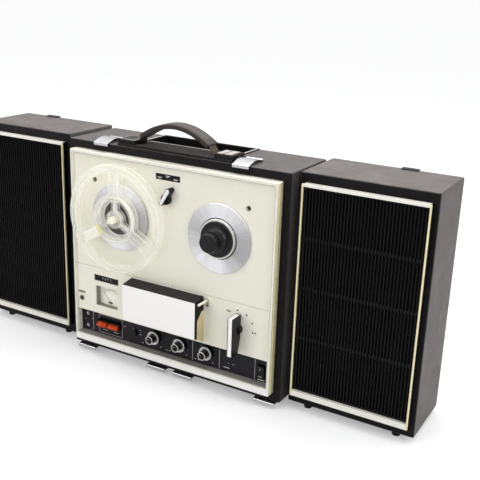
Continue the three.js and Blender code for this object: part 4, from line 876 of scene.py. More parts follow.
@dataclass
class Assembly:
    """A sub-assembly, which turns drafts into pieces that ride on a body, from one datum in the CAD frame."""

    datum: Vector

    def solid(self, name: str, draft: Draft) -> bpy.types.Object:
        """Makes a draft an object in metres, with no finish yet.

        Args:
            name: Name of the object.
            draft: The draft, which is spent.

        Returns:
            The object.
        """
        mesh = bpy.data.meshes.new(name)
        bmesh.ops.recalc_face_normals(draft.mesh, faces=draft.mesh.faces)
        draft.mesh.to_mesh(mesh)
        draft.mesh.free()
        mesh.transform(Matrix.Translation(self.datum) @ Matrix.Scale(MM, 4))
        mesh.polygons.foreach_set("use_smooth", [True] * len(mesh.polygons))
        return placed(name, mesh)

    @staticmethod
    def rounded(piece: bpy.types.Object, edge: float, segments: int = 2) -> None:
        """Rounds a piece's hard edges.

        Args:
            piece: The piece.
            edge: Radius in millimetres.
            segments: Segments of an edge.
        """
        bevel = piece.modifiers.new("rounded", "BEVEL")
        bevel.width = edge * MM
        bevel.segments = segments
        bevel.limit_method = "ANGLE"
        bevel.angle_limit = HARD

    def piece(self, name: str, draft: Draft, finish: Surface, body: str, stands_for: Sequence[str] = (),
              edge: float = 0.0, segments: int = 2, cutters: Sequence[Draft] = ()) -> bpy.types.Object:
        """Finishes a piece and puts it on its body.

        Args:
            name: Name of the piece.
            draft: Its mesh.
            finish: Its finish.
            body: CAD body that it rides on.
            stands_for: CAD nodes that it replaces.
            edge: Radius of its rounded edges, or 0 for none.
            segments: Segments of a rounded edge.
            cutters: Drafts that are cut out of it once its edges are rounded.

        Returns:
            The piece.
        """
        made = self.solid(name, draft)
        if edge:
            self.rounded(made, edge, segments)
        for i, cutter in enumerate(cutters):
            tool = self.solid(f"{name}_cutter_{i}", cutter)
            cut = made.modifiers.new("cut", "BOOLEAN")
            cut.operation = "DIFFERENCE"
            cut.solver = "EXACT"
            cut.object = tool
            bpy.context.view_layer.update()
            graph = bpy.context.evaluated_depsgraph_get()
            result = bpy.data.meshes.new_from_object(made.evaluated_get(graph))
            made.modifiers.clear()
            old = made.data
            made.data = result
            bpy.data.meshes.remove(old)
            spent = tool.data
            bpy.data.objects.remove(tool)
            bpy.data.meshes.remove(spent)
        weighted = made.modifiers.new("flat_faces", "WEIGHTED_NORMAL")
        weighted.weight = 80
        if cutters:
            made.data.set_sharp_from_angle(angle=HARD)
            weighted.keep_sharp = True
        made.data.materials.clear()
        made.data.materials.append(finish.material())
        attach(made, body)
        if stands_for:
            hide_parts(*stands_for)
        log.info("%s rides on %s, %d faces", name, body, len(made.data.polygons))
        return made


@dataclass
class DeckCase(Assembly):
    """The recorder's leathercloth case, its feet, bezel, deck plates, head housing floor and sill."""

    width: float = 410.0
    depth: float = 118.0
    foot: float = 11.0
    top: float = 376.0
    wall: float = 13.2
    corner: float = 3.0
    foot_radius: float = 9.0
    feet_across: tuple[float, float] = (62.0, 348.0)
    feet_deep: tuple[float, float] = (27.0, 91.0)
    well: tuple[float, float, float, float] = (115.0, 292.0, 52.0, 112.0)
    bezel: tuple[float, float, float, float] = (13.6, 396.4, 24.6, 362.4)
    opening: tuple[float, float, float, float] = (18.6, 391.4, 37.6, 355.4)
    bezel_front: float = -15.0
    bezel_back: float = 8.0
    panel_front: float = -11.0
    panel_back: float = -8.5
    parting: float = 164.7
    screws_across: Flat = (61.5, 348.5)
    screw_height: float = 316.7

    def make(self) -> None:
        """Makes every piece of the case and its deck."""
        self.shell()
        self.feet()
        self.frame()
        self.upper_plate()
        self.lower_plate()

    def shell(self) -> None:
        """Case of four boards under leathercloth, cut for the jack well."""
        outline = rectangle(0, self.width, self.foot, self.top, self.corner)
        opening = rectangle(self.wall, self.width - self.wall, self.foot + self.wall, self.top - self.wall)
        shell = Draft().pierced(outline, [opening], 0, self.depth, 1.8)
        x0, x1, y0, y1 = self.well
        cutter = Draft().block(x0, x1, y0, y1, self.top - self.wall - 2, self.top + 4)
        self.piece("case_leathercloth", shell, Looks.vinyl, "deck", ["case_shell"], cutters=[cutter])

    def feet(self) -> None:
        """Four turned rubber feet."""
        draft = Draft()
        r = self.foot_radius
        profile = [(0, 0), (r - 2.2, 0), (r - 1.3, 0.4), (r - 0.9, 1.2), (r, self.foot - 2), (r, self.foot),
                   (0, self.foot)]
        for x in self.feet_across:
            for y in self.feet_deep:
                draft.turned(profile, x, y, Axis.Z, 32)
        self.piece("rubber_feet", draft, Looks.rubber, "deck", ["case_shell"])

    def frame(self) -> None:
        """Bezel with a rounded front, a fine step and a rounded inner edge."""
        outer, inner = self.bezel, self.opening
        front = self.bezel_front

        def ring(box: tuple, grow: float, depth: float, radius: float) -> tuple:
            """Outline of a box that has grown, and its depth."""
            x0, x1, z0, z1 = box
            return rectangle(x0 - grow, x1 + grow, z0 - grow, z1 + grow, radius, 4), depth
        levels = [
            ring(outer, 0, self.bezel_back, 1.6), ring(outer, 0, front + 1.2, 1.6),
            ring(outer, -0.35, front + 0.35, 1.3), ring(outer, -1.2, front, 0.6),
            ring(inner, 2.0, front, 1.4), ring(inner, 1.8, front + 0.7, 1.2),
            ring(inner, 0.7, front + 0.7, 0.9), ring(inner, 0.2, front + 0.9, 0.7),
            ring(inner, 0, front + 1.5, 0.6), ring(inner, 0, self.bezel_back, 0.6)]
        draft = Draft().stack(levels, closed=True)
        self.piece("front_bezel_moulding", draft, Looks.bezel, "deck", ["front_bezel"])
        x0, x1, z0, z1 = outer
        # Painted light: a whiter sheet on the bezel's bottom bar, for the light it gets from below.
        bright = Draft().slab(
            rectangle(x0 + 1.6, x1 - 1.6, z0 + 1.4, inner[2] - 2.6, 1), front - 0.08, front + 0.1)
        self.piece("bezel_bottom_painted_light", bright, Looks.white, "deck", edge=0.03)
        # Painted shade: a darker olive sheet over the bezel's right side face.
        side_shade = Draft().block(x1 - 0.1, x1 + 0.1, front + 1.6, -6, z0 + 2, z1 - 2)
        shaded_ivory = replace(
            Looks.stained, name="ivory_painted_shade", colour=tone(230, 225, 186), deep=tone(214, 206, 156))
        self.piece("bezel_side_painted_shade", side_shade, shaded_ivory, "deck", edge=0.03)
        dirt = Draft()
        for y0, y1 in ((front + 1.4, front + 2.1), (-6, -0.4)):
            dirt.block(x1 - 0.1, x1 + 0.12, y0, y1, z0 + 2, z1 - 2)
        self.piece("bezel_side_dirt", dirt, Looks.stained, "deck", edge=0.03)
        a0, a1, b0, b1 = inner
        near, far = front + 0.6, front + 0.75
        # Painted shadow: dark strips at the inner step, where the plate sits behind the bezel.
        groove = Draft().block(a0 - 2.0, a1 + 2.0, near, far, b1 + 1.35, b1 + 2.0)
        for left in (a0 - 2.0, a1 + 1.35):
            groove.block(left, left + 0.65, near, far, b0, b1 + 1.35)
        shadow = replace(Looks.stained, name="groove_painted_shadow", colour=tone(126, 120, 98), deep=tone(96, 90, 72))
        self.piece("bezel_groove_painted_shadow", groove, shadow, "deck")

    def upper_plate(self) -> None:
        """Enamelled plate behind the reels, with its screw holes and their screws."""
        x0, x1, _, z1 = self.opening
        height = self.screw_height
        holes = [circle(114, 262, 3.8), circle(300, 262, 3.8), circle(205, 307.5, 3.3)]
        holes += [circle(x, height, 3, 32) for x in self.screws_across]
        outline = rectangle(x0 + 0.3, x1 - 0.3, self.parting + 0.3, z1 - 0.3, 1.0)
        draft = Draft().pierced(outline, holes, self.panel_front, self.panel_back, 0.35)
        self.piece("upper_deck_enamel", draft, Looks.plate, "deck", ["upper_deck_plate"])
        screws = Draft()
        for x in self.screws_across:
            screws.turned([(0, -8.6), (1.0, -8.9), (2.3, -8.4), (2.5, -7.6), (0, -7.4)], x, height, steps=24)
            screws.block(x - 2.1, x + 2.1, -9.0, -8.7, height - 0.3, height + 0.3)
        brown = replace(Looks.band, name="brown_screws", colour=tone(66, 56, 44), deep=tone(40, 33, 27))
        self.piece("deck_screws", screws, brown, "deck", edge=0.1)
        rings = Draft()
        for x in self.screws_across:
            rings.pierced(circle(x, height, 4.1, 32), [circle(x, height, 3.0, 32)], *PRINTED, 0.01)
        olive = replace(Looks.stained, name="olive_ring", colour=tone(88, 78, 52), deep=tone(112, 100, 70))
        self.piece("deck_screw_rings", rings, olive, "deck")

    def lower_plate(self) -> None:
        """Lower panel with its windows, and the head housing's cheeks and sill."""
        x0, x1, _, _ = self.opening
        holes = [rectangle(58, 103.5, 96, 131.5, 0.8), rectangle(55.5, 104.7, 141.2, 150.4, 0.5),
                 circle(26.8, 102, 4.3), circle(338, 124, 3.3), rectangle(150, 266, 97.6, 146.2, 1.0),
                 rectangle(276.4, 283.6, 145.4, 159.6, 3.4)]
        outline = rectangle(x0 + 0.3, x1 - 0.3, 81.5, self.parting - 0.3, 0.8)
        draft = Draft().pierced(outline, holes, self.panel_front, self.panel_back, 0.35)
        self.piece("lower_panel_enamel", draft, Looks.plate, "deck", ["lower_panel"])
        seat, front, foot, boundary, sill = -9.75, -28.7, 84.5, 125.5, 96.4
        cheek = [(seat, foot), (front, foot + 9.5), (front, boundary), (front + 12.7, boundary + 12.7),
                 (seat, boundary + 12.7)]
        floor = [(seat, foot), (front, foot + 9.5), (front, sill), (seat, sill)]
        housing = Draft().bar(cheek, 134, 138).bar(cheek, 271, 275).bar(floor, 134.5, 274.5)
        # The tan on these cream cheeks and sill is painted shade.
        self.piece("head_housing_floor", housing, Looks.tan, "deck", ["lower_panel"], edge=0.7, segments=3)
        hem = Draft().block(x0 + 0.4, x1 - 0.4, -10.2, -3.4, 81.5, 84.0)
        self.piece("panel_hem", hem, Looks.plate, "deck", ["lower_panel"], edge=0.3)


@dataclass
class Transport(Assembly):
    """Turntables, reel, cap, speed selector, tension pin and function lever."""

    supply: Flat = (114.0, 262.0)
    takeup: Flat = (300.0, 262.0)
    table_radius: float = 54.9
    table_front: float = -14.9
    table_back: float = -11.6
    boss: float = -18.1
    reel_front: float = -31.1
    reel_back: float = -18.4
    reel_radius: float = 89.0
    flange: float = 1.6

    def make(self) -> None:
        """Makes every piece of the tape drive that shows."""
        self.table("supply", self.supply, "supply_table")
        self.table("takeup", self.takeup, "takeup_table")
        self.pad()
        self.reel()
        self.beads()
        self.label()
        self.cap()
        self.selector()
        self.pin()
        self.lever()

    def table(self, side: str, at: Flat, body: str) -> None:
        """Spun turntable with its groove and raised ring, the wheel behind it and the splined spindle.

        Args:
            side: Supply or takeup.
            at: Place of its axis.
            body: CAD body that it is.
        """
        front, back, boss, r = self.table_front, self.table_back, self.boss, self.table_radius
        profile = [
            (0, boss), (29.9, boss), (30.6, boss + 0.15), (31, boss + 0.6), (31, front + 1.2),
            (31.2, front + 1.4), (32.4, front + 1.4), (32.6, front + 1.2), (32.6, front + 0.2), (32.9, front),
            (r - 1.1, front), (r - 0.4, front + 0.25), (r, front + 0.9), (r, back - 0.3), (r - 0.4, back),
            (3.5, back), (3.5, -7.9), (23.6, -7.9), (24, -7.5), (24, -0.4), (23.6, 0.1), (3.5, 0.1),
            (3.5, 13.8), (0, 13.8)]
        x, z = at
        centre = tuple(self.datum + Vector((x, 0, z)) * MM)
        finish = replace(Looks.spun, name=f"spun_aluminium_{side}", centre=centre)
        draft = Draft().turned(profile, x, z, steps=128)
        self.piece(f"{side}_turntable_spun", draft, finish, body, [f"{side}_turntable"])
        ring = [(28.6, boss + 0.05), (28.6, boss - 0.15), (30, boss - 0.15), (30.2, boss + 0.05)]
        band = Draft().turned(ring, x, z, steps=96, closed=True)
        self.piece(f"{side}_table_band", band, Looks.cream, body)
        groove = Draft().pierced(
            circle(x, z, 32.6, 96), [circle(x, z, 31.05, 96)], front + 1.0, front + 1.3, 0.01)
        self.piece(f"{side}_table_groove", groove, Looks.rubber, body)
        tip = boss - 25
        post = [(0, tip), (2.9, tip), (3.6, tip + 0.4), (3.9, tip + 1.2), (3.9, boss + 1), (0, boss + 1)]
        spindle = Draft().turned(post, x, z, steps=32)
        rib = [(-1.1, 0), (1.1, 0), (1.1, 5.9), (0.5, 6.5), (-0.5, 6.5), (-1.1, 5.9)]
        for i in range(3):
            fin = Draft().slab(rib, tip + 0.8, boss + 1)
            spindle.merged(fin.turn(120 * i).moved(x, 0, z))
        self.piece(f"{side}_spindle", spindle, Looks.cream, body, [f"{side}_turntable"], edge=0.2)

    def pad(self) -> None:
        """Rubber mat on the supply turntable's raised face, seen through the reel's hub; its mottled grey is
        painted shade.
        """
        profile = [
            (8, self.boss + 0.05), (8, self.boss - 0.2), (27.4, self.boss - 0.2), (27.8, self.boss + 0.05)]
        mat = replace(Looks.rubber, name="mat_painted_shade", colour=tone(92, 90, 88), deep=tone(58, 56, 55),
                      patch_scale=160.0, patches=1.0)
        self.piece("supply_mat", Draft().turned(profile, *self.supply, closed=True), mat, "supply_table")

    def beads(self) -> None:
        """Milky beads round the windows and the rim of both flanges."""
        x, z = self.supply
        draft = Draft()
        for front in (self.reel_front - 0.4, self.reel_back - 0.15):
            back = front + 0.55
            for i in range(3):
                middle = math.pi * 5 / 6 + i * math.tau / 3
                hole = self.window(40, 78, 9.5, middle)
                draft.merged(Draft().pierced(self.window(38.8, 79.2, 8.3, middle), [hole], front, back, 0.05))
            for outer, inner in ((self.reel_radius - 0.3, self.reel_radius - 1.9), (37.4, 36.2)):
                bead = Draft().pierced(
                    circle(x, z, outer, 128), [circle(x, z, inner, 128)], front, back, 0.05)
                draft.merged(bead)
        self.piece("reel_beads", draft, Looks.bead, "reel")

    def window(self, inner: float, outer: float, half: float, middle: float) -> list[Flat]:
        """Draws a reel window between two spokes with parallel sides.

        Args:
            inner: Radius of the inner edge.
            outer: Radius of the outer edge.
            half: Half of a spoke's width.
            middle: Angle of the window's middle.

        Returns:
            The outline.
        """
        wide = math.pi / 3 - math.asin(half / outer)
        slim = math.pi / 3 - math.asin(half / inner)
        x, z = self.supply
        return (circle(x, z, outer, 28, middle - wide, wide * 2)
                + circle(x, z, inner, 20, middle + slim, -slim * 2))

    def reel(self) -> None:
        """Clear reel: two flanges with three windows each and a beaded rim, the tape hub and the core."""
        x, z = self.supply
        flanges = Draft()
        for front in (self.reel_front, self.reel_back - self.flange):
            holes = [circle(x, z, 6.8, 32)]
            for i in range(3):
                middle = math.pi * 5 / 6 + i * math.tau / 3
                holes.append(self.window(40, 78, 9.5, middle))
                holes.append(self.window(15.2, 31.6, 3.5, middle))
            rim = circle(x, z, self.reel_radius, 160)
            flanges.merged(Draft().pierced(rim, holes, front, front + self.flange, 0.4))
        self.piece("reel_flanges", flanges, Looks.clear, "reel", ["supply_reel"])
        inner, outer = self.reel_front + self.flange + 0.02, self.reel_back - self.flange - 0.02
        hub = Draft().turned([
            (33.8, inner), (35.8, inner), (36, inner + 0.3), (36, outer - 0.3), (35.8, outer), (33.8, outer)],
            x, z, steps=96, closed=True)
        hub.turned([(6.8, inner), (13, inner), (13, outer), (6.8, outer)], x, z, steps=48, closed=True)
        for i in range(3):
            hub.merged(Draft().block(-1, 1, inner, outer, 12.8, 34).turn(120 * i).moved(x, 0, z))
        styrene = replace(Looks.clear, name="clear_hub", face_haze=0.1, side_haze=0.5)
        self.piece("reel_hub", hub, styrene, "reel", ["supply_reel"])

    def label(self) -> None:
        """Bare cream label block along the lower left spoke, a little off its middle."""
        x, z = self.supply
        paper = replace(Looks.cream, name="cream_label", colour=tone(250, 248, 236), deep=tone(242, 236, 206))
        shaded_end = replace(Looks.cream, name="label_end_painted_shade", colour=tone(238, 230, 176), deep=tone(224, 212, 142))
        # The yellow tab at the label's inner end is a darker copy of the cream: painted shade.
        for name, low, high, finish in (("reel_label", 38, 70, paper), ("reel_label_tab", 31.5, 38.1, shaded_end)):
            draft = Draft().slab(rectangle(-13, 4, low, high, 1), self.reel_front - 2, self.reel_front + 0.02)
            self.piece(name, draft.turn(-120).moved(x, 0, z), finish, "reel", edge=0.4)

    def cap(self) -> None:
        """Rubber cap with a flange, a domed step and a flat nose."""
        back, flange, step, nose = -18.4, -21.4, -28.4, -45.4
        dome = [(13.4 + 7.1 * math.sin(turn), flange - 7.6 * math.cos(turn))
                for turn in (math.radians(10 * i) for i in range(1, 9))]
        profile = [
            (0, nose), (12.4, nose), (13.8, nose + 0.35), (14.4, nose + 1), (14.6, nose + 2),
            (14.6, step - 1.6), *dome, (20.5, flange - 0.6), (20.9, flange - 0.2), (21.6, flange),
            (26.6, flange), (27.6, flange + 0.4), (28, flange + 1.4), (28, back), (6.8, back), (6.8, -43.6),
            (0, -43.6)]
        self.piece("takeup_cap_rubber", Draft().turned(profile, *self.takeup, steps=96), Looks.rubber,
                   "reel_cap", ["takeup_cap"])

    def selector(self) -> None:
        """Speed selector: round boss, black blade, silver face with a raised rim."""
        seat, front, x, z = -11.3, -25.0, 205, 307.5
        axis, lean = (x, 0, z), 30

        def pointer(shrink: float) -> list[Flat]:
            """Outline of the blade, drawn in on all sides.

            Args:
                shrink: How far it is drawn in.

            Returns:
                The outline.
            """
            tip = circle(x, z + 18.2, 4.2 - shrink, 16, 0, math.pi)
            half, tail = 3 - shrink * 0.8, z - 8.3 + shrink
            return tip + [(x - half, tail), (x + half, tail)]
        boss = [(0, -18.2), (7.7, -18.2), (8.5, -17.4), (8.5, seat), (0, seat)]
        body = Draft().slab(pointer(0), front + 0.4, seat).turned(boss, x, z, steps=48)
        body.turned([(0, seat - 1), (3, seat - 1), (3, 13.3), (0, 13.3)], x, z, steps=24).turn(lean, axis)
        self.piece("speed_selector_body", body, Looks.black, "selector", ["speed_selector"], edge=0.4)
        rim = Draft().stack([
            (pointer(0.05), front + 0.5), (pointer(0.05), front + 0.1), (pointer(0.2), front),
            (pointer(0.5), front), (pointer(0.6), front + 0.2), (pointer(0.6), front + 0.5)], closed=True)
        self.piece("speed_selector_rim", rim.turn(lean, axis), Looks.black, "selector")
        face = Draft().slab(pointer(0.85), front - 0.02, front + 0.5)
        silver = replace(Looks.white, name="silver_face", slot="knob_metal", colour=tone(236, 236, 239))
        self.piece("speed_selector_face", face.turn(lean, axis), silver, "selector")

    def pin(self) -> None:
        """Cream tension pin with a rounded tip, on its arm behind the panel."""
        x, pivot, z = 280, 306, 156
        post = [(0, -35), (1.2, -35), (1.8, -34.6), (2.0, -33.8), (2.0, -7), (0, -7)]
        draft = Draft().turned(post, x, z, steps=32)
        self.piece("tension_pin_post", draft, Looks.cream, "tension_arm", ["tension_pin"])
        left = circle(x, z, 3.5, 16, math.pi / 2, math.pi)
        right = circle(pivot, z, 3.5, 16, -math.pi / 2, math.pi)
        arm = Draft().slab(left + right, -7.9, -5.9)
        arm.turned([(0, -6.9), (3, -6.9), (3, 13.3), (0, 13.3)], pivot, z, steps=24)
        # The shutter covers the pin's slot; its tan is painted shade round the pin's base.
        shutter = Draft().turned([(0, -8.3), (8.6, -8.3), (8.6, -7.9), (0, -7.9)], x, z, steps=32)
        self.piece("tension_pin_shutter", shutter, Looks.tan, "tension_arm")
        self.piece("tension_pin_arm", arm, Looks.chassis, "tension_arm", ["tension_pin"], edge=0.2)

    def lever(self) -> None:
        """Function lever: black blade on a boss, white strip over front and top, bright left edge."""
        seat, front, x0, x1 = -11.6, -36.5, 333.4, 342.6
        x, z = 338, 124
        blade = [(front, 84), (seat - 7, 84), (seat, 112), (seat, 148), (front, 148)]
        boss = [(0, seat - 8), (7.9, seat - 8), (8.5, seat - 7.4), (8.5, seat), (0, seat)]
        body = Draft().bar(blade, x0, x1).turned(boss, x, z, steps=48)
        body.turned([(0, seat - 1), (3, seat - 1), (3, 13.3), (0, 13.3)], x, z, steps=24)
        self.piece(
            "function_lever_blade", body, Looks.black, "lever", ["function_lever"], edge=0.9, segments=3)
        left, right = x0 + 1.5, x1 - 1.3
        strip = Draft().bar([
            (front - 0.3, 86), (front + 0.3, 86), (front + 0.3, 147.4), (seat - 3, 147.6), (seat - 3, 148.4),
            (front + 0.8, 148.4), (front - 0.1, 147.9), (front - 0.3, 147)], left, right)
        self.piece("function_lever_strip", strip, Looks.white, "lever", edge=0.15)
        lines = Draft()
        for x in (left + 1.9, right - 2.2):
            lines.block(x, x + 0.3, front + 1, seat - 4, 148.2, 148.46)
        self.piece("function_lever_lines", lines, Looks.dark_print, "lever")
        edge = Draft().block(x0 - 0.15, x0 + 1.3, front + 0.2, front + 0.9, 85, 147.2)
        self.piece("function_lever_edge", edge, Looks.chrome, "lever", edge=0.15)


@dataclass
class HeadHousing(Assembly):
    """Lift-off head cover with its bare white face plate."""

    left: float = 134.0
    right: float = 275.0
    foot: float = 96.4
    roof: float = 158.8
    rise: float = 3.5
    front: float = -35.2
    back: float = -11.3
    wall: float = 2.5

    def make(self) -> None:
        """Makes the cover and its face plate."""
        slit, step = -29.5, 126.3
        side = [(self.front, self.foot), (slit, self.foot), (slit, step), (slit + 12.7, step + 12.7),
                (self.back, step + 12.7), (self.back, self.roof + self.rise), (self.front, self.roof)]
        cavity = [(self.front + self.wall, self.foot - 2), (self.back + 2, self.foot - 2),
                  (self.back + 2, self.roof + self.rise - self.wall),
                  (self.front + self.wall, self.roof - self.wall)]
        hollow = Draft().bar(cavity, self.left + self.wall, self.right - self.wall)
        self.piece("head_cover_moulding", Draft().bar(side, self.left, self.right), Looks.speckled,
                   "head_housing_lid", ["head_cover"], 0.9, 3, [hollow])
        plate = Draft().slab(
            rectangle(self.left + 0.8, self.right - 0.8, self.foot + 0.8, self.roof - 0.8, 0.8), -36.7, -35.5)
        self.piece("head_face_enamel", plate, Looks.white, "head_housing_lid", ["head_face_plate"], 0.3)


@dataclass
class ControlStrip(Assembly):
    """Black strip with its prints, knobs, record keys, slide switch, power rocker and sockets."""

    front: float = -3.0
    back: float = -1.0
    knobs: tuple[float, float, float] = (177.0, 228.0, 279.0)
    knob_height: float = 64.5
    pointing: float = -70.0
    jack_plate_right: float = 43.9
    keys: tuple[float, float] = (58.7, 81.8)
    key_width: float = 22.8
    monitor: Flat = (26.8, 102.0)

    def make(self) -> None:
        """Makes the strip and what it carries."""
        self.strip()
        self.prints()
        for i, (side, x) in enumerate(zip(("left", "middle", "right"), self.knobs), 1):
            self.knob(side, x, i)
        for side, x in zip(("left", "right"), self.keys):
            self.key(side, x)
        self.switch()
        self.rocker()
        self.sockets()

    def strip(self) -> None:
        """Strip with its holes, and the ears and axle of the keys behind it."""
        holes = [rectangle(58.4, 104.9, 55.5, 70.4, 0.5), rectangle(134.5, 137.5, 58.1, 70.9, 0.4),
                 rectangle(370.7, 383.3, 46.6, 69.4, 0.6)]
        holes += [circle(x, self.knob_height, 4.7) for x in self.knobs]
        left, foot, head = self.jack_plate_right + 0.3, 37.9, 87.5
        draft = Draft().pierced(rectangle(left, 391.1, foot, head, 0.2), holes, self.front, self.back, 0.15)
        self.piece("control_strip_panel", draft, Looks.strip, "deck", ["control_strip"])
        behind = Draft().block(55.7, 58.1, -2, 10, 60, 68).block(105.2, 107.6, -2, 10, 60, 68)
        behind.turned([(0, 56.9), (1.5, 56.9), (1.5, 106.4), (0, 106.4)], 6, 64, Axis.X, 16)
        behind.block(369.1, 370.7, -2, 6, 47.5, 68.5).block(383.3, 384.9, -2, 6, 47.5, 68.5)
        self.piece("control_strip_brackets", behind, Looks.black, "deck", ["control_strip"], edge=0.2)

    def prints(self) -> None:
        """Fine pale lines, a box round the keys, and plain marks and numbers round the controls."""
        y0, y1 = self.front - 0.06, self.front + 0.02
        draft = Draft()

        def line(x0: float, x1: float, z0: float, z1: float) -> None:
            """Adds a printed line."""
            draft.block(x0, x1, y0, y1, z0, z1)
        for x in (44.05, 250, 301, 365.5):
            line(x - 0.25, x + 0.25, 42, 76)
        for x in (57, 107):
            line(x - 0.2, x + 0.2, 43, 76)
        for z in (43, 76):
            line(56.8, 107.2, z - 0.2, z + 0.2)
        for x, z in ((25, 60), (27.5, 60), (39.5, 44), (24, 78), (41, 63)):
            line(x - 0.8, x + 0.8, z - 0.4, z + 0.4)
        for x in self.knobs:
            for i in range(11):
                angle = math.radians(-60 + 30 * i)
                u, w = math.cos(angle), math.sin(angle)
                cx, cz = x + 14.2 * u, self.knob_height + 14.2 * w
                line(cx - 0.35, cx + 0.35, cz - 0.35, cz + 0.35)
            draft.numeral("0", 3.2, x - 9.6, self.front, 47.4).numeral("10", 3.2, x + 9.8, self.front, 47.4)
        for x in (70.1, 93.2):
            line(x - 5, x + 5, 48.6, 49.3)
        for z in (59.5, 66.5):
            line(143, 147, z - 0.25, z + 0.25)
        line(129.5, 130.7, 58.4, 60)
        line(129.5, 130.7, 66.4, 67.2)
        line(371, 383, 42.4, 43.8)
        line(309, 320, 46.4, 47.4)
        for x in (318, 326, 328.6):
            line(x - 0.8, x + 0.5, 54.6, 55.4)
        for x, z in ((26, 60), (112, 66), (150, 46), (199, 46), (205, 46), (256, 46), (262, 46)):
            line(x - 1.6, x + 1.6, z - 0.4, z + 0.4)
        self.piece("strip_prints", draft, Looks.print, "deck")
        x, z = self.monitor
        jack = Draft().pierced(circle(x, z, 5.4, 40), [circle(x, z, 5.05, 40)], *PRINTED, 0.01)
        for x in (21.2, 23.6, 26.0, 28.4, 30.8, 33.2):
            jack.block(x - 0.95, x + 0.95, *PRINTED, 111.4, 115.4)
        self.piece("monitor_prints", jack, Looks.dark_print, "deck")

    def knob(self, side: str, x: float, number: int) -> None:
        """Outer ring with a black skirt and bright crown, inner knob with its rim and pointer line.

        Args:
            side: Left, middle or right.
            x: Place along the strip.
            number: Number in the CAD bodies' names.
        """
        z, front = self.knob_height, -12.0
        skirt = Draft().turned([
            (2.6, -10), (7.7, -10), (10.6, -11), (11.3, -11.3), (11.5, -11), (11.5, -3.9), (11.2, -3.6),
            (4.4, -3.6), (4.4, 4), (2.6, 4)], x, z, steps=72, closed=True)
        skirt.shaped(lambda point: self.knurled(point, x, z))
        ring = f"ring_knob_{number}"
        self.piece(f"{side}_ring_skirt", skirt, Looks.black, ring, [f"{side}_ring_knob"])
        crown = Draft().turned([
            (7.5, -10.6), (7.6, -11.2), (10.7, -11.95), (11.1, -12), (11.4, -11.8), (11.55, -11.1)], x, z,
            steps=72, closed=True)
        self.piece(f"{side}_ring_crown", crown, Looks.knob, ring, [f"{side}_ring_knob"])
        mark = Draft().block(x - 0.4, x + 0.4, -12.1, -11.9, z + 9.3, z + 11.2)
        self.piece(f"{side}_ring_mark", mark.turn(self.pointing, (x, 0, z)), Looks.dark_print, ring)
        top, inner = front - 10.9, f"inner_knob_{number}"
        body = Draft().turned([
            (0, top + 0.3), (6.2, top + 0.3), (6.9, top + 0.6), (7.1, top + 1), (7.1, -10.7), (6.9, -10.3),
            (2.3, -10.3), (2.3, 5.6), (0, 5.6)], x, z, steps=72)
        self.piece(f"{side}_inner_body", body, Looks.black, inner, [f"{side}_inner_knob"])
        rim = Draft().turned([
            (5.9, top + 0.35), (6.1, top), (6.6, top), (6.95, top + 0.3), (7.0, top + 0.7), (6.2, top + 0.7)],
            x, z, steps=72, closed=True)
        self.piece(f"{side}_inner_rim", rim, Looks.knob, inner, [f"{side}_inner_knob"])
        line = Draft().block(x - 0.3, x + 0.3, top + 0.22, top + 0.4, z + 1.2, z + 5.6)
        self.piece(f"{side}_inner_line", line.turn(self.pointing, (x, 0, z)), Looks.print, inner)

    @staticmethod
    def knurled(point: Vector, x: float, z: float) -> Vector:
        """Draws a skirt in on every second step round its side.

        Args:
            point: A point of the skirt.
            x: X of the knob's axis.
            z: Z of the knob's axis.

        Returns:
            Its new place.
        """
        radius = math.hypot(point.x - x, point.z - z)
        step = round(math.atan2(point.z - z, point.x - x) / (math.tau / 72))
        if radius < 11.1 or step % 2:
            return point
        return Vector((x + (point.x - x) * 0.975, point.y, z + (point.z - z) * 0.975))

    def key(self, side: str, left: float) -> None:
        """Orange wedge key with a black block above and beside it that paints the shade of its slot.

        Args:
            side: Left or right.
            left: Left side of the key.
        """
        right = left + self.key_width
        section = [(-15, 58.5), (10, 58.5), (10, 66), (-10, 66), (-15, 62.5)]
        hole = [(0, left - 2), (1.8, left - 2), (1.8, right + 2), (0, right + 2)]
        bore = Draft().turned(hole, 6, 64, Axis.X, 16)
        self.piece(f"{side}_record_key", Draft().bar(section, left + 1.3, right - 1.3), Looks.orange,
                   f"{side}_key", [f"record_key_{side}"], 1.1, 3, [bore])
        # Painted shade: black block over and between the keys, for the shade in their slot.
        slot_shade = Draft().bar([(-9.6, 66.1), (10, 66.1), (10, 69.5), (-5, 69.5)], left, right)
        for x in (left, right - 0.6):
            slot_shade.bar([(-9, 59), (10, 59), (10, 66.2), (-9, 66.2)], x, x + 0.6)
        self.piece(f"{side}_record_key_shroud", slot_shade, Looks.slat, f"{side}_key", edge=0.15)

    def switch(self) -> None:
        """Ribbed slide switch."""
        cap = Draft().block(133, 139, -8, -3.3, 57, 64)
        cap.block(134.8, 137.2, -5, 0.5, 59.3, 61.7).block(131.5, 140.5, -0.7, 0.8, 57, 64)
        self.piece("slide_switch_cap", cap, Looks.black, "switch_slider", ["slide_switch"], 0.3)
        ribs = Draft()
        for z in (58.6, 60.5, 62.4):
            ribs.block(133.4, 138.6, -8.2, -7.8, z - 0.3, z + 0.3)
        self.piece("slide_switch_ribs", ribs, Looks.black, "switch_slider", edge=0.1)

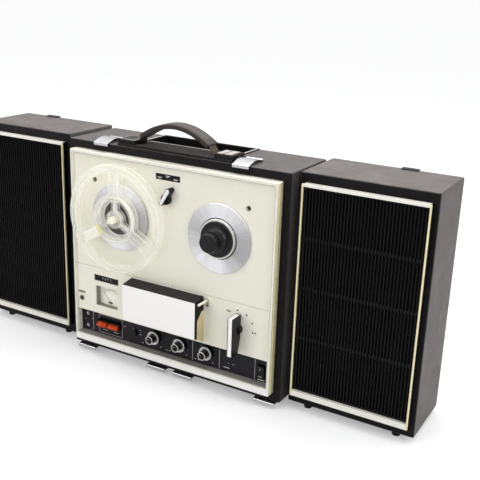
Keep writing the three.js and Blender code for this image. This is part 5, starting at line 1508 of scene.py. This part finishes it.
    def rocker(self) -> None:
        """Dished power rocker, tipped, with two plain marks."""
        half, front, tip, place = 10.5, -7.5, 8, (377, -1, 58)
        dish = [(front + 1.5 * (1 - abs(z / (half - 1.5)) ** 1.5), z)
                for z in [(half - 1.5) * (1 - i / 6) for i in range(13)]]
        section = [(2.5, -5.25), (2.5, 5.25), (front + 1.2, half), *dish, (front + 1.2, -half)]
        draft = Draft().bar([(y + 1, z) for y, z in section], -6, 6)
        draft.turn(tip, axis="X").moved(*place)
        self.piece("power_rocker_moulding", draft, Looks.black, "rocker", ["power_rocker"], 0.35)
        marks = Draft().block(-0.35, 0.35, front + 0.7, front + 1.6, 4.4, 7.2)
        marks.block(-3, 3, front + 0.7, front + 1.6, -7.4, -6.9).turn(tip, axis="X").moved(*place)
        self.piece("power_rocker_marks", marks, Looks.print, "rocker")

    def sockets(self) -> None:
        """Microphone sockets with their own plate and housing, and the nut of the monitor socket."""
        x, heights = 32, (49, 71)
        plate = Draft().pierced(
            rectangle(18.9, self.jack_plate_right, 37.9, 87.5, 0.2), [circle(x, z, 4.9, 40) for z in heights],
            self.front, self.back, 0.15)
        self.piece("microphone_plate", plate, Looks.strip, "deck", ["mic_jack_pair"])
        housing = Draft().block(x - 7.5, x + 7.5, self.back - 0.4, 17, 41.5, 78.5)
        bores = [Draft().turned([(0, -6), (3.2, -6), (3.2, 11), (0, 11)], x, z, steps=40) for z in heights]
        self.piece("microphone_housing", housing, Looks.black, "deck", ["mic_jack_pair"], 0.5, 2, bores)
        barrel = [(3.2, -3.6), (3.5, -3.9), (4.7, -3.9), (5, -3.6), (5, -1.2), (3.2, -1.2)]
        bush = [(1.9, -2.9), (2.1, -3.3), (2.7, -3.3), (3.1, -2.9), (3.1, -1), (1.9, -1)]
        barrels, bushes = Draft(), Draft()
        for z in heights:
            barrels.turned(barrel, x, z, steps=40, closed=True)
            bushes.turned(bush, x, z, steps=32, closed=True)
        self.piece("microphone_barrels", barrels, Looks.slat, "deck", ["mic_jack_pair"])
        self.piece("microphone_bushes", bushes, Looks.knob, "deck")
        nut = Draft().turned([
            (1.9, -11.7), (2.1, -12.0), (3.3, -12.0), (3.7, -11.6), (3.8, -10.9), (1.9, -10.9)],
            *self.monitor, steps=40, closed=True)
        self.piece("monitor_nut", nut, Looks.black, "deck")


@dataclass
class MeterAndCounter(Assembly):
    """What shows in the two windows, and the prints of the deck."""

    pivot: Flat = (80.75, 101.0)
    card_front: float = 0.55
    counter: Flat = (-1.5, 145.8)
    drum: float = 7.5
    wheel: float = 5.6492
    shown: tuple[int, ...] = (0, 4, 7, 1)
    dot_ring: float = 29.5

    def make(self) -> None:
        """Makes the scale, the pane, the digits and the deck's prints."""
        self.scale()
        self.digits()
        self.prints()

    def scale(self) -> None:
        """Meter card with an arc scale and numbers, and the clear pane in the window."""
        y = self.card_front
        card = Draft().slab(rectangle(58.3, 103.2, 96.3, 131.2, 0.4), y, y + 0.25)
        self.piece("meter_scale_card", card, Looks.card, "deck", edge=0.05)
        x, z = self.pivot
        black, red = Draft(), Draft()
        arc = circle(x, z, 22.4, 30, math.radians(50), math.radians(80))
        arc += circle(x, z, 22.0, 30, math.radians(130), math.radians(-80))
        black.slab(arc, y - 0.05, y + 0.02)
        for i in range(11):
            draft = black if i < 8 else red
            tip = z + (25 if i % 2 == 0 else 23.8)
            tick = Draft().block(x - 0.2, x + 0.2, y - 0.05, y + 0.02, z + 22.2, tip)
            draft.merged(tick.turn(-40 + 8 * i, (x, 0, z)))
        for i, text in enumerate(("0", "2", "4", "6", "8", "10")):
            angle = math.radians(130 - 16 * i)
            black.numeral(text, 2.6, x + 27 * math.cos(angle), y, z + 27 * math.sin(angle))
        self.piece("meter_scale_marks", black, Looks.dark_print, "deck")
        self.piece(
            "meter_scale_red", red, replace(Looks.orange, name="red_print", slot="meter_white"), "deck")
        pane = Draft().slab(rectangle(58.15, 103.35, 96.15, 131.35, 0.6), -10.2, -9.2)
        glazing = replace(
            Looks.clear, name="meter_pane_plastic", shadow_pass=0.97, face_haze=0.0, side_haze=0.2)
        self.piece("meter_pane", pane, glazing, "deck", edge=0.2)
        boss = Draft().block(76.5, 85, -0.6, -0.2, 99.4, 102.6)
        self.piece("needle_pivot_cover", boss, Looks.black, "deck", edge=0.15)

    def digits(self) -> None:
        """Ten plain digits on each of the four number wheels."""
        y, z = self.counter
        draft = Draft()
        for i, shown in enumerate(self.shown):
            for digit in range(10):
                one = Draft().numeral(str(digit), 5.2, 68.8 + (i + 0.5) * self.wheel, y - self.drum, z, 0.04)
                draft.merged(one.turn(36 * (digit - shown), (0, y, z), "X"))
        self.piece("counter_digits", draft, Looks.print, "number_wheels")
        border = Draft().pierced(
            rectangle(55.2, 106.0, 140.9, 151.7, 0.5), [rectangle(55.5, 104.7, 141.2, 150.4, 0.5)], *PRINTED,
            0.01)
        self.piece("counter_border", border, Looks.black, "deck")

    def prints(self) -> None:
        """Black plate of plain marks over the selector, and dots round the lever."""
        label = Draft().slab(rectangle(183.2, 228, 336.2, 345.8, 1.0), -11.25, -10.98)
        self.piece("speed_label_plate", label, Looks.black, "deck", edge=0.1)
        marks = Draft()
        for x, z in ((190.5, 339.6), (205.6, 343), (220.5, 339.6)):
            marks.block(x - 4.2, x + 4.2, -11.3, -11.2, z - 0.2, z + 0.8)
            marks.block(x - 2.6, x + 1.4, -11.3, -11.2, z - 1.8, z - 1.0)
        self.piece("speed_label_marks", marks, Looks.print, "deck")
        dots = Draft()
        near, far = PRINTED
        for degrees in (-33, 0, 32, 62, 92):
            middle = 336 + self.dot_ring * math.sin(math.radians(degrees))
            height = 124 + self.dot_ring * math.cos(math.radians(degrees))
            for x in (middle - 2.1, middle + 2.1) if degrees in (-33, 92) else (middle,):
                dots.turned([(0, near), (1.45, near), (1.45, far), (0, far)], x, height, steps=16)
        self.piece("lever_dots", dots, Looks.dark_print, "deck")


@dataclass
class TopFittings(Assembly):
    """Lid clips, latches, carry handle and jack well."""

    top: float = 376.0
    clips: tuple[float, ...] = (30.5, 178.5, 231.0, 384.5)
    latches: tuple[float, float] = (70.0, 328.5)
    handle_at: Flat = (202.0, 20.5)
    half: float = 62.0
    sag: float = 22.5
    rise: float = 43.5
    grip_thick: float = 7.5

    def make(self) -> None:
        """Makes every fitting on the case's top and under its front edge."""
        for i, x in enumerate(self.clips, 1):
            self.clip(i, x)
        for side, x in zip(("left", "right"), self.latches):
            self.latch(side, x)
        self.base()
        self.grip()
        self.band()
        self.well()

    def clip(self, number: int, x: float) -> None:
        """Hooked chrome clip under the front edge.

        Args:
            number: Number in the CAD node's name.
            x: Place of its middle.
        """
        top = 10.7
        section = [(16, top), (-6.2, top), (-6.8, top - 0.3), (-7, top - 0.9), (-7, top - 5.5),
                   (-4.9, top - 5.5), (-4.9, top - 2.1), (16, top - 2.1)]
        self.piece(f"lid_clip_plated_{number}", Draft().bar(section, x - 19, x + 19), Looks.chrome, "deck",
                   [f"lid_clip_{number}"], 0.3)

    def latch(self, side: str, x: float) -> None:
        """Arched chrome latch, turned down in front and rolled round its hinge.

        Args:
            side: Left or right.
            x: Place of its middle.
        """
        reach, pivot, thick = 43.0, self.top + 2.5, 1.6
        upper, lower = [], []
        for i in range(25):
            y = -5 + reach * i / 24
            z = pivot - thick / 2 + 4.5 * math.sin(math.pi * (y + 5) / reach) - 2.2 * (38 - y) / reach
            upper.append((y, z + thick))
            lower.append((y, z))
        tip = pivot - thick / 2 - 2.2
        section = [(-5, tip - 3), (-5 + thick, tip - 3), (-5 + thick, tip), *lower[1:], *reversed(upper)]
        draft = Draft().bar(section, x - 14, x + 14)
        draft.turned([(0, x - 14), (2.2, x - 14), (2.2, x + 14), (0, x + 14)], 38, pivot, Axis.X, 24)
        self.piece(
            f"top_latch_plated_{side}", draft, Looks.chrome, f"{side}_latch", [f"top_latch_{side}"], 0.3)

    def base(self) -> None:
        """Ridged plinth with a bracket at each end, a metal plate on each bracket."""
        foot = self.top + 0.3
        draft = Draft().block(99.5, 310.5, 1, 46, foot, foot + 3.4)
        self.piece("handle_plinth", draft, Looks.black, "deck", ["handle_base"], 0.8, 3)
        ridges = Draft()
        for i in range(9):
            y = 5.4 + i * 4.5
            ridge = [
                (y - 1.1, foot + 3.3), (y + 1.1, foot + 3.3), (y + 0.7, foot + 4.1), (y - 0.7, foot + 4.1)]
            ridges.bar(ridge, 133, 277)
        self.piece("handle_plinth_ridges", ridges, Looks.grip, "deck", edge=0.15)
        lines = Draft().block(131.5, 278.5, 45.2, 46.2, foot + 2.9, foot + 3.8)
        lines.block(131.5, 278.5, 41.9, 42.7, foot + 3.3, foot + 4.3)
        self.piece("handle_plinth_lines", lines, Looks.rim, "deck", edge=0.1)
        brackets = (("left", 99.5, 131.5, (102.5, 134.0)), ("right", 278.5, 310.5, (276.0, 307.5)))
        for side, x0, x1, slot in brackets:
            bracket = Draft().block(x0, x1, 3, 38, foot, foot + 10)
            cutter = Draft().block(*slot, 11.2, 29.8, self.top + 4.1, self.top + 8.3)
            self.piece(
                f"handle_bracket_{side}", bracket, Looks.black, "deck", ["handle_base"], 0.9, 3, [cutter])
            outline = rectangle(x0 + 2.2, x1 - 2.2, 5.4, 35.6, 1.5)
            plate = Draft().stack([(outline, foot + 9.9), (outline, foot + 10.5)], Axis.Z)
            metal = Looks.rim if side == "left" else Looks.grip
            self.piece(f"bracket_plate_{side}", plate, metal, "deck", edge=0.2)
            spans = ((x0 + 3.6, x1 - 3.6),) if side == "left" else ((x0 + 2.6, x0 + 12.5), (x0 + 15, x1 - 5))
            inlay = Draft()
            for a, b in spans:
                outline = rectangle(a, b, 6.8, 34.2, 1)
                inlay.stack([(outline, foot + 10.45), (outline, foot + 10.65)], Axis.Z)
            tint = Looks.black if side == "left" else Looks.rim
            self.piece(f"bracket_inlay_{side}", inlay, tint, "deck", edge=0.05)

    def height(self, at: float) -> float:
        """Height of the middle of the handle's arch at a place along X."""
        return self.top + self.rise - self.grip_thick / 2 - self.sag * (at / self.half) ** 2

    def arch(self, width: float, thick: float, half: float, corner: float, stations: int = 40) -> list:
        """Rings of a strap that follows the handle's arch.

        Args:
            width: Size of the strap along Y.
            thick: Thickness of the strap.
            half: Half of its run along X.
            corner: Radius of its corners.
            stations: Number of spans along the arch.

        Returns:
            The rings, each a list of points.
        """
        x, y = self.handle_at
        rings = []
        for i in range(stations + 1):
            at = -half + 2 * half * i / stations
            slope = -2 * self.sag * at / self.half ** 2
            length = math.hypot(1, slope)
            nx, nz = -slope / length, 1 / length
            section = rectangle(-width / 2, width / 2, -thick / 2, thick / 2, corner, 4)
            rings.append([Vector((x + at + nx * v, y + u, self.height(at) + nz * v)) for u, v in section])
        return rings

    def grip(self) -> None:
        """Rounded grip along the arch, with a paler strip along its top that is painted light."""
        rings = self.arch(28, self.grip_thick, self.half, 2.0)
        self.piece(
            "handle_grip_moulding", Draft().loft(rings), Looks.grip, "carry_handle", ["handle_grip"], 0.5)
        # Painted light: a paler strip along the grip's top, the face that catches the light.
        pad = Draft().loft(self.arch(17, 7.2, self.half - 8, 2.2)).moved(0, 0, 0.35)
        worn_and_lit = replace(Looks.grip, name="grip_top_painted_light", colour=tone(80, 72, 67), deep=tone(66, 59, 55))
        self.piece("handle_grip_painted_light", pad, worn_and_lit, "carry_handle", edge=0.4)

    def band(self) -> None:
        """Bronzed spring band whose ends lie in the brackets."""
        x, y = self.handle_at
        line = [(-90, 382.2), (-72, 382.2), (-70, 382.6)]
        for i in range(31):
            at = -62 + 124 * i / 30
            line.append((at, self.height(at)))
        line += [(70, 382.6), (72, 382.2), (90, 382.2)]
        rings = []
        for i, (u, w) in enumerate(line):
            a, b = line[max(i - 1, 0)], line[min(i + 1, len(line) - 1)]
            run = Vector((b[0] - a[0], b[1] - a[1])).normalized()
            section = [(-9, -0.8), (9, -0.8), (9, 0.8), (-9, 0.8)]
            rings.append([Vector((x + u - run.y * t, y + s, w + run.x * t)) for s, t in section])
        self.piece(
            "handle_band_bronzed", Draft().loft(rings), Looks.band, "carry_handle", ["handle_band"], 0.2)

    def well(self) -> None:
        """Jack well: pale rim, dark tray, pale socket plate and four sockets."""
        x0, x1, y0, y1, top = 115.3, 291.7, 52.3, 111.7, self.top + 1.7

        def ring(grow: float, depth: float, radius: float) -> tuple:
            """Outline of the opening that has grown, and its depth."""
            return rectangle(x0 - grow, x1 + grow, y0 - grow, y1 + grow, radius, 5), depth
        rim = Draft().stack([
            ring(4, self.top + 0.3, 3), ring(4, top - 0.4, 3), ring(3.6, top, 2.6), ring(-1.2, top, 1.2),
            ring(-1.7, top - 0.4, 1), ring(-1.7, self.top + 0.3, 1)], Axis.Z, closed=True)
        self.piece("well_rim", rim, Looks.black, "deck", ["jack_well"])
        edge = Draft().stack([
            ring(2.6, top - 0.1, 2), ring(2.4, top + 0.15, 1.8), ring(-0.4, top + 0.15, 1.2),
            ring(-0.6, top - 0.1, 1)], Axis.Z, closed=True)
        self.piece("well_rim_plate", edge, Looks.rim, "deck")
        floor = self.top - 30
        tray, lip = Draft(), ring(-2, self.top + 0.2, 1)
        for wall in ((lip, ring(0, self.top + 0.2, 1.5), ring(0, floor, 1.5)), (lip, ring(-2, floor + 2, 1))):
            tray.loft([[Vector((a, b, d)) for a, b in outline] for outline, d in wall], capped=False)
        tray.block(x0 + 0.2, x1 - 0.2, y0 + 0.2, y1 - 0.2, floor, floor + 2)
        self.piece("well_tray", tray, Looks.black, "deck", ["jack_well"])
        plate = Draft().block(263.7, 290.5, 53.4, 93.3, floor + 1, floor + 20)
        self.piece("well_socket_plate", plate, Looks.rim, "deck", ["jack_well"], 0.6)
        socket = [(2.4, floor + 1), (2.4, floor + 7), (5, floor + 7), (5.7, floor + 6.4), (6, floor + 5.6),
                  (6, floor + 1)]
        sockets = Draft()
        for i in range(1, 5):
            sockets.turned(socket, x0 + i * 30, 82, Axis.Z, 32, closed=True)
        self.piece("well_sockets", sockets, Looks.head, "deck", ["jack_well"])


@dataclass
class Loudspeaker(Assembly):
    """One lid half: cabinet, feet, trim, slatted grille, rails and catch."""

    side: str
    catch_at: float
    cone: float = 161.0
    width: float = 204.0
    depth: float = 113.0
    foot: float = 9.0
    top: float = 376.0
    wall: float = 10.0
    trim: tuple[float, float, float, float] = (8.0, 196.0, 26.0, 361.3)
    fin: float = 2.2
    top_bar: float = 4.0
    bottom_bar: float = 9.0
    pitch: float = 5.0
    slat: float = 2.4
    rails: tuple[float, float, float] = (122.0, 202.0, 279.0)

    def make(self) -> None:
        """Makes every piece of the loudspeaker that shows."""
        self.cabinet()
        self.front()
        self.slats()
        self.fittings()

    def named(self, label: str) -> str:
        """Name of a piece, node or body with this side's prefix."""
        return f"{self.side}_{label}"

    @property
    def body(self) -> str:
        """CAD body that this lid half is."""
        return self.named("speaker")

    def cabinet(self) -> None:
        """Leathercloth box, hollowed for the driver in front and as a lid behind."""
        w, d, wall = self.width, self.depth, self.wall
        z0, z1 = self.foot + wall, self.top - wall
        hollow = [Draft().block(wall, w - wall, y0, y1, z0, z1) for y0, y1 in ((wall, 60), (66, d + 4))]
        for radius, y0, y1 in ((69, -2, wall + 2), (76.3, -1, 3.5)):
            hollow.append(Draft().turned([(0, y0), (radius, y0), (radius, y1), (0, y1)], w / 2, self.cone))
        self.piece(self.named("cabinet_leathercloth"), Draft().block(0, w, 0, d, self.foot, self.top),
                   Looks.lid_vinyl, self.body, [self.named("speaker_cabinet")], 2.6, 4, hollow)

    def front(self) -> None:
        """Trim: black box sides, edged in front with two white bars between two yellowed fins."""
        node_name = self.named("speaker_trim")
        x0, x1, z0, z1 = self.trim
        fin, low, high, lip = self.fin, z0 + self.bottom_bar, z1 - self.top_bar, -8.7
        bars = Draft()
        for foot, head in ((z0, low), (high, z1)):
            bars.block(x0 + fin, x1 - fin, -12, -0.3, foot, head)
        self.piece(self.named("trim_bars"), bars, Looks.trim, self.body, [node_name], 0.4)
        fins, sides = Draft(), Draft()
        for left in (x0, x1 - fin):
            fins.block(left, left + fin, -12, lip, z0, z1)
            sides.block(left, left + fin, lip, -0.3, z0, z1)
        self.piece(self.named("trim_fins"), fins, Looks.fin, self.body, [node_name], 0.4)
        self.piece(self.named("trim_sides"), sides, Looks.slat, self.body, [node_name])

    def slats(self) -> None:
        """Upright slats in a border, with three rails behind."""
        x0, x1 = self.trim[0] + self.fin + 0.3, self.trim[1] - self.fin - 0.3
        z0, z1 = self.trim[2] + self.bottom_bar + 0.3, self.trim[3] - self.top_bar - 0.3
        draft = Draft()
        count = int((x1 - x0 - 6 + self.slat) / self.pitch)
        first = (x0 + x1) / 2 - count * self.pitch / 2
        for i in range(count + 1):
            x = first + i * self.pitch
            half = self.slat / 2
            outline = [(x - half, -4.5), (x - half, -6.9), (x - half + 0.5, -7.5), (x + half - 0.5, -7.5),
                       (x + half, -6.9), (x + half, -4.5)]
            draft.stack([(outline, z0 + 1), (outline, z1 - 1)], Axis.Z)
        draft.block(x0, x1, -6.6, -4.5, z0, z0 + 3).block(x0, x1, -6.6, -4.5, z1 - 3, z1)
        draft.block(x0, x0 + 2.2, -7.2, -4.5, z0, z1).block(x1 - 2.2, x1, -7.2, -4.5, z0, z1)
        self.piece(self.named("grille_slats"), draft, Looks.slat, self.body, [self.named("speaker_grille")])
        rails = Draft()
        for z in self.rails:
            rails.block(x0 + 2.2, x1 - 2.2, -4.2, -2.6, z - 2.5, z + 2.5)
            for left in (x0 + 2.2, x1 - 12.2):
                rails.block(left, left + 10, -3.4, 1, z - 2.5, z + 2.5)
        self.piece(
            self.named("grille_rails"), rails, Looks.rail, self.body, [self.named("speaker_cabinet")], 0.3)

    def fittings(self) -> None:
        """Rubber feet and the black catch on the rear top edge."""
        feet = Draft()
        profile = [(0, 0), (5, 0), (5.8, 0.4), (6.2, 1.1), (7, self.foot - 1), (7, self.foot), (0, self.foot)]
        for x in (30, self.width - 30):
            for y in (12.5, self.depth - 12.5):
                feet.turned(profile, x, y, Axis.Z, 28)
        self.piece(self.named("rubber_feet"), feet, Looks.rubber, self.body, [self.named("speaker_cabinet")])
        x, d, top = self.catch_at, self.depth, self.top
        catch = Draft().bar([(d - 11, top), (d - 11, top + 1.6), (d - 2, top + 2.4), (d + 1, top + 1.6),
                             (d + 1, top - 6), (d, top - 6), (d, top)], x - 12.5, x + 12.5)
        self.piece(self.named("rear_catch"), catch, Looks.black, self.body, edge=0.3)


def dress_inner_nodes(nodes: dict[str, bpy.types.Object]) -> None:
    """Gives every CAD node that stays its finish.

    Args:
        nodes: The CAD nodes by name.
    """
    wheels = replace(Looks.black, name="number_wheels_black", colour=tone(48, 47, 48), deep=tone(38, 37, 38))
    kept = {
        "back_cover": Looks.board, "sill_lip": Looks.lip, "chassis_plate": Looks.chassis,
        "head_stack": Looks.head, "capstan_flywheel": Looks.head, "pinch_arm": Looks.chassis,
        "pinch_roller": Looks.rubber, "motor": Looks.chassis, "motor_pulley": Looks.head,
        "drive_belt": Looks.rubber, "power_transformer": Looks.iron,
        "amplifier_board": Looks.circuit, "vu_meter": Looks.meter, "vu_needle": Looks.needle,
        "tape_counter": Looks.black, "counter_wheels": wheels, "monitor_jack": Looks.head,
        "left_speaker_driver": Looks.driver, "right_speaker_driver": Looks.driver,
    }
    for name, finish in kept.items():
        slots = nodes[name].data.materials
        material = finish.material()
        if len(slots):
            for i in range(len(slots)):
                slots[i] = material
        else:
            slots.append(material)
        log.info("%s keeps its CAD shape in %s", name, material.name)


@dataclass
class Studio:
    """Pale floor, soft light and the camera."""

    eye: tuple[float, float, float] = (0.68665, -1.0235, 0.6319)
    azimuth: float = 29.54
    elevation: float = 18.22
    roll: float = 1.96
    lens: float = 59.32
    lamps: tuple[tuple[str, tuple[float, float, float], float, float], ...] = (
        ("overhead", (0.1, 0.2, 1.7), 1.8, 26.5),
        ("right_window", (1.9, -0.3, 1.1), 1.2, 18.0),
        ("left_fill", (-1.3, -1.9, 1.3), 1.4, 16.5),
    )

    def make(self) -> None:
        """Makes the stage, the light and the camera."""
        self.camera()
        self.world()
        self.floor()
        for name, place, size, power in self.lamps:
            self.lamp(name, Vector(place), size, power)
        bpy.context.scene.view_settings.view_transform = "Standard"

    def camera(self) -> None:
        """Camera at the photograph's angle."""
        a, e, r = (math.radians(value) for value in (self.azimuth, self.elevation, self.roll))
        back = Vector((math.sin(a) * math.cos(e), -math.cos(a) * math.cos(e), math.sin(e)))
        right = (-back).cross(Vector((0, 0, 1))).normalized()
        up = right.cross(-back)
        across = math.cos(r) * right + math.sin(r) * up
        over = math.cos(r) * up - math.sin(r) * right
        data = bpy.data.cameras.new("viewpoint")
        data.lens = self.lens
        data.sensor_width = 36.0
        data.clip_start = 0.05
        data.clip_end = 30.0
        made = placed("viewpoint", data)
        made.matrix_world = Matrix.Translation(self.eye) @ Matrix((across, over, back)).transposed().to_4x4()
        bpy.context.scene.camera = made

    def world(self) -> None:
        """White surroundings, less bright for the light they cast than for what they show."""
        made = bpy.data.worlds.new("white_room")
        bpy.context.scene.world = made
        tree = cleared(made)
        path = node(tree, "ShaderNodeLightPath").outputs
        height = along(tree, node(tree, "ShaderNodeTexCoord").outputs["Generated"])["Z"]
        room = ramped(tree, height, -0.1, 0.75, 0.35, 1.2)
        glossy = maths(tree, "MULTIPLY", path["Is Glossy Ray"], room)
        seen = maths(tree, "MAXIMUM", path["Is Camera Ray"], path["Is Transmission Ray"])
        plain = maths(tree, "MULTIPLY", maths(tree, "SUBTRACT", 1.0, path["Is Glossy Ray"]), 0.54)
        cast = maths(tree, "ADD", glossy, plain)
        strength = maths(tree, "MAXIMUM", maths(tree, "MULTIPLY", seen, 0.975), cast)
        back = node(tree, "ShaderNodeBackground", {"Color": (1, 1, 1, 1), "Strength": strength})
        node(tree, "ShaderNodeOutputWorld", {"Surface": back.outputs[0]})

    def floor(self) -> None:
        """Pale floor that keeps the shadows and looks white to the camera."""
        mesh = bpy.data.meshes.new("studio_floor")
        mesh.from_pydata([(-8, -8, 0), (8, -8, 0), (8, 12, 0), (-8, 12, 0)], [], [(0, 1, 2, 3)])
        made = placed("studio_floor", mesh)
        paper = bpy.data.materials.new("white_paper")
        tree = cleared(paper)
        place = node(tree, "ShaderNodeTexCoord").outputs["Object"]
        tint = blended(tree, noise(tree, place, 3.0), (0.62, 0.62, 0.63, 1), (0.64, 0.64, 0.64, 1))
        inputs = {"Base Color": tint, "Roughness": 0.8, "Specular IOR Level": 0.2}
        matt = node(tree, "ShaderNodeBsdfPrincipled", inputs)
        path = node(tree, "ShaderNodeLightPath").outputs
        camera = maths(tree, "MAXIMUM", path["Is Camera Ray"], path["Is Transmission Ray"])
        away = vectors(tree, "LENGTH", place, result=1)
        strength = maths(tree, "MULTIPLY", camera, ramped(tree, away, 0.35, 2.2, 0.33, 0.6))
        glow = node(tree, "ShaderNodeEmission", {"Color": (0.985, 0.99, 1.0, 1), "Strength": strength})
        both = node(tree, "ShaderNodeAddShader", {0: matt.outputs[0], 1: glow.outputs[0]})
        node(tree, "ShaderNodeOutputMaterial", {"Surface": both.outputs[0]})
        mesh.materials.append(paper)

    @staticmethod
    def lamp(name: str, place: Vector, size: float, power: float) -> None:
        """Square soft light that looks at the middle of the object.

        Args:
            name: Name of the light.
            place: Where it stands.
            size: Side of the square.
            power: Power in watts.
        """
        data = bpy.data.lights.new(name, "AREA")
        data.size = size
        data.energy = power
        made = placed(name, data)
        made.location = place
        made.rotation_euler = (Vector((0, 0, 0.2)) - place).to_track_quat("-Z", "Y").to_euler()
        made.visible_camera = False


def main() -> None:
    """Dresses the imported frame."""
    logging.basicConfig(level=logging.INFO, format="%(name)s: %(message)s")
    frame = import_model()
    Studio().make()
    case_low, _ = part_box("case_shell")
    corner = Vector((case_low.x, case_low.y, 0))
    for part in (DeckCase, Transport, HeadHousing, ControlStrip, MeterAndCounter, TopFittings):
        part(corner).make()
    for side, catch in (("left", 66.6), ("right", 125.5)):
        low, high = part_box(f"{side}_speaker_cabinet")
        Loudspeaker(Vector((low.x, high.y - Loudspeaker.depth * MM, 0)), side, catch).make()
    dress_inner_nodes(frame["nodes"])


if __name__ == "__main__":
    main()
